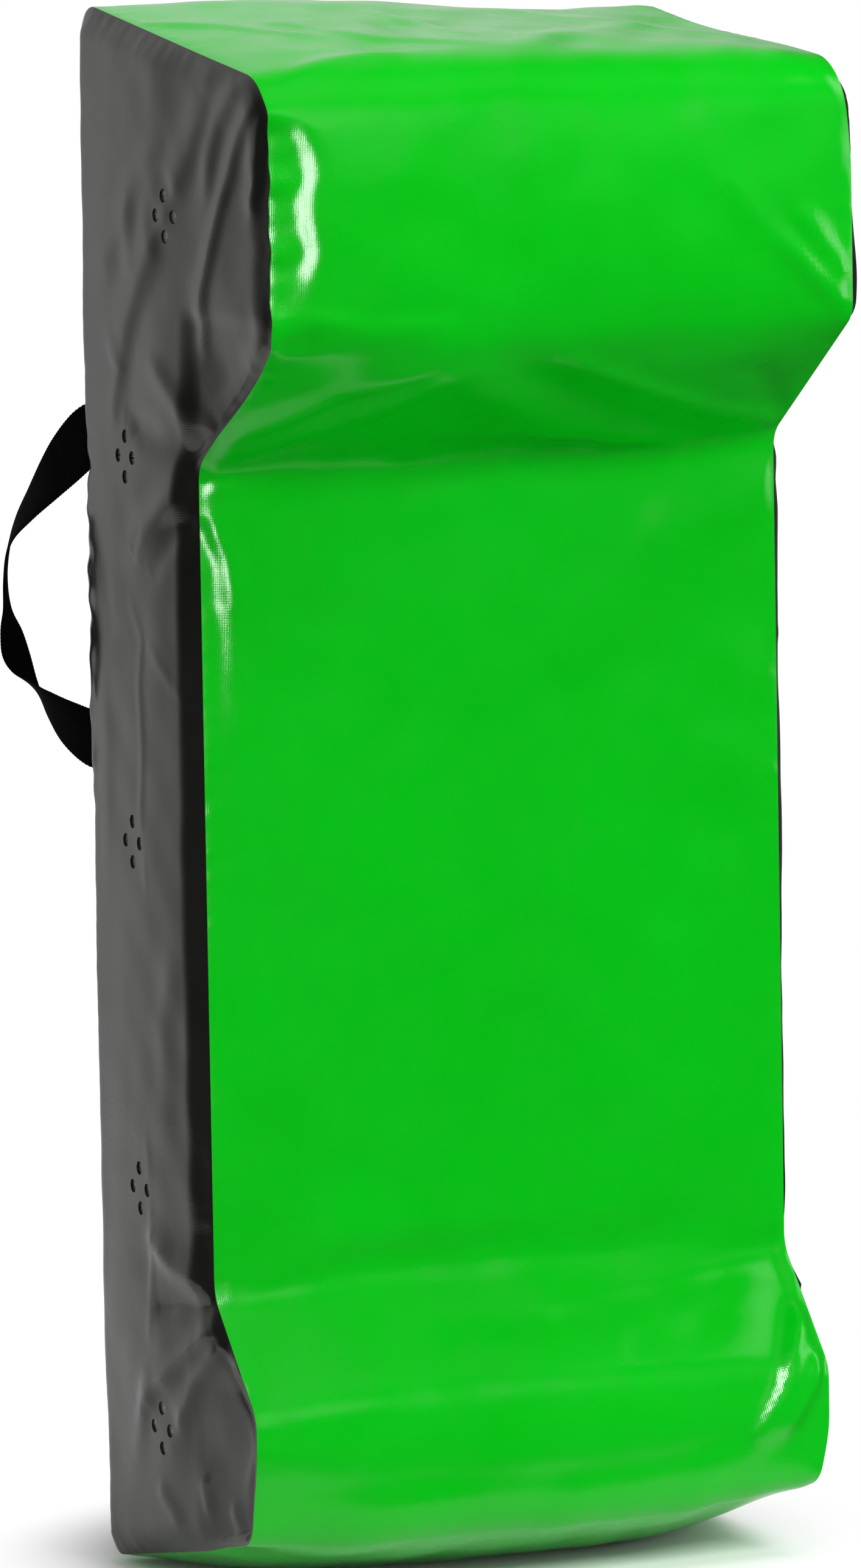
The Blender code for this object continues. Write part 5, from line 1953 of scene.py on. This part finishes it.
@dataclass
class Studio:
    """A plain pale floor, a white surround and soft lamps, with the camera at the photograph's angle."""

    target: tuple[float, float, float] = (0.0361, 0.089, 0.510)
    azimuth: float = -24.95
    elevation: float = 6.90
    roll: float = -0.99
    distance: float = 8.249
    focal_pixels: float = 20000.0
    image_height: float = 2576.0
    sensor: float = 24.0
    clip_end: float = 100.0
    ambient: float = 0.41
    gloss_low: float = 0.03
    gloss_high: float = 0.76
    floor_radius: float = 1.5
    floor_middle: float = 0.8
    floor_grain: float = 300.0
    floor_fade: tuple[float, float] = (0.20, 0.33)
    pale: tuple[Colour, Colour] = ((0.94, 0.94, 0.94), (0.97, 0.97, 0.97))
    dim: tuple[float, ...] = (0.03, 0.03, 0.03, 1.0)
    lamp_target: tuple[float, float, float] = (0.0, 0.0, 0.5)
    lamps: tuple[Softbox, ...] = (
        Softbox("key_lamp", 8.0, 30.0, 4.2, 1.6, 1.6, 101.0),
        Softbox("fill_lamp", 48.0, 18.0, 4.6, 2.0, 2.0, 34.0),
        Softbox("top_lamp", 12.0, 72.0, 3.4, 2.2, 2.2, 44.0),
        Softbox("streak_lamp", -34.0, 20.0, 4.0, 0.95, 4.4, 268.0, True, "green_strip"),
        Softbox("left_sheen_lamp", -34.0, 20.0, 4.0, 0.95, 4.4, 52.0, True),
        Softbox("right_sheen_lamp", 76.0, 22.0, 4.0, 1.20, 4.0, 32.0, True),
    )

    def camera(self) -> None:
        """Sets up the camera, from the photograph's own perspective."""
        turn, roll = math.radians(self.azimuth), math.radians(self.roll)
        back = toward(self.azimuth, self.elevation)
        right = Vector((math.cos(turn), math.sin(turn), 0.0))
        up = back.cross(right)
        wide = right * math.cos(roll) + up * math.sin(roll)
        tall = up * math.cos(roll) - right * math.sin(roll)
        data = bpy.data.cameras.new("camera")
        data.sensor_fit = "VERTICAL"
        data.sensor_height = self.sensor
        data.lens = self.focal_pixels / self.image_height * self.sensor
        data.clip_end = self.clip_end
        camera = Bench.add("camera", data)
        camera.location = Vector(self.target) + back * self.distance
        camera.rotation_mode = "QUATERNION"
        camera.rotation_quaternion = Matrix((wide, tall, back)).transposed().to_quaternion()
        bpy.context.scene.camera = camera

    def surround(self) -> None:
        """White behind the pad and in what its gloss shows of that side, darker before it."""
        world = bpy.data.worlds.new("surround")
        bpy.context.scene.world = world
        world.use_nodes = True
        graph = Graph(world.node_tree)
        seen, shown = graph.ray("Camera"), graph.ray("Glossy").math("MAXIMUM", graph.ray("Transmission"))
        right, rear, _ = graph.parts("Generated")
        slope = rear.rise(-0.20, 1.0)
        behind = slope * slope * (1 - rear.rise(0.93, 1.0) * 0.40) * (1 - right.rise(0.40, 0.55) * 0.92)
        mirrored = self.gloss_low + behind * self.gloss_high
        strength = seen + (1 - seen) * (shown * mirrored + (1 - shown) * self.ambient)
        lit = graph.node("ShaderNodeBackground", None, {"Color": WHITE, "Strength": strength})
        graph.node("ShaderNodeOutputWorld", None, {"Surface": lit.outputs[0]})

    def floor(self) -> None:
        """Lays the floor: pale where the pad's shadow falls, white further out, dim in the gloss of the front."""
        Bench.clear()
        bpy.ops.mesh.primitive_circle_add(
            vertices=96, radius=self.floor_radius, fill_type="NGON", location=(0.0, self.floor_middle, 0.0)
        )
        floor = Bench.settle("floor")
        made, graph = new_material("pale_floor")
        x, y, _ = graph.parts("Object")
        far = (x * x + y * y).math("SQRT").rise(*self.floor_fade) * graph.ray("Camera")
        colour = graph.blend(graph.noise(self.floor_grain), *self.pale)
        before = (0 - y).rise(0.22, 0.36).math("MAXIMUM", x.rise(0.22, 0.32)) * graph.ray("Glossy")
        pale = graph.node("ShaderNodeBsdfDiffuse", None, {"Color": colour, "Roughness": 0.6})
        white = graph.node("ShaderNodeEmission", None, {"Color": WHITE, "Strength": 1.0})
        dim = graph.node("ShaderNodeBsdfDiffuse", None, {"Color": self.dim})
        mixed = graph.node("ShaderNodeMixShader", None, {0: far, 1: pale.outputs[0], 2: white.outputs[0]})
        shown = graph.node("ShaderNodeMixShader", None, {0: before, 1: mixed.outputs[0], 2: dim.outputs[0]})
        graph.node("ShaderNodeOutputMaterial", None, {"Surface": shown.outputs[0]})
        floor.data.materials.append(made)

    def make(self) -> None:
        """Sets up the camera, the floor, the surround and the lamps."""
        bpy.context.scene.view_settings.view_transform = "Standard"
        self.camera()
        self.surround()
        self.floor()
        for lamp in self.lamps:
            lamp.place(Vector(self.lamp_target))


def main() -> None:
    """Builds the wedge's dress and the studio."""
    logging.basicConfig(level=logging.INFO, format="%(name)s: %(message)s")
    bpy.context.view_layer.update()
    paints = Paintbox()
    cover = Cover(WedgeForm(), paints)
    cover.make()
    Filling(cover, paints).make()
    stitching = Stitching(paints)
    for side in Side:
        Handle(side, paints, stitching).make()
    BackZip(paints, stitching).make()
    Studio().make()


if __name__ == "__main__":
    main()
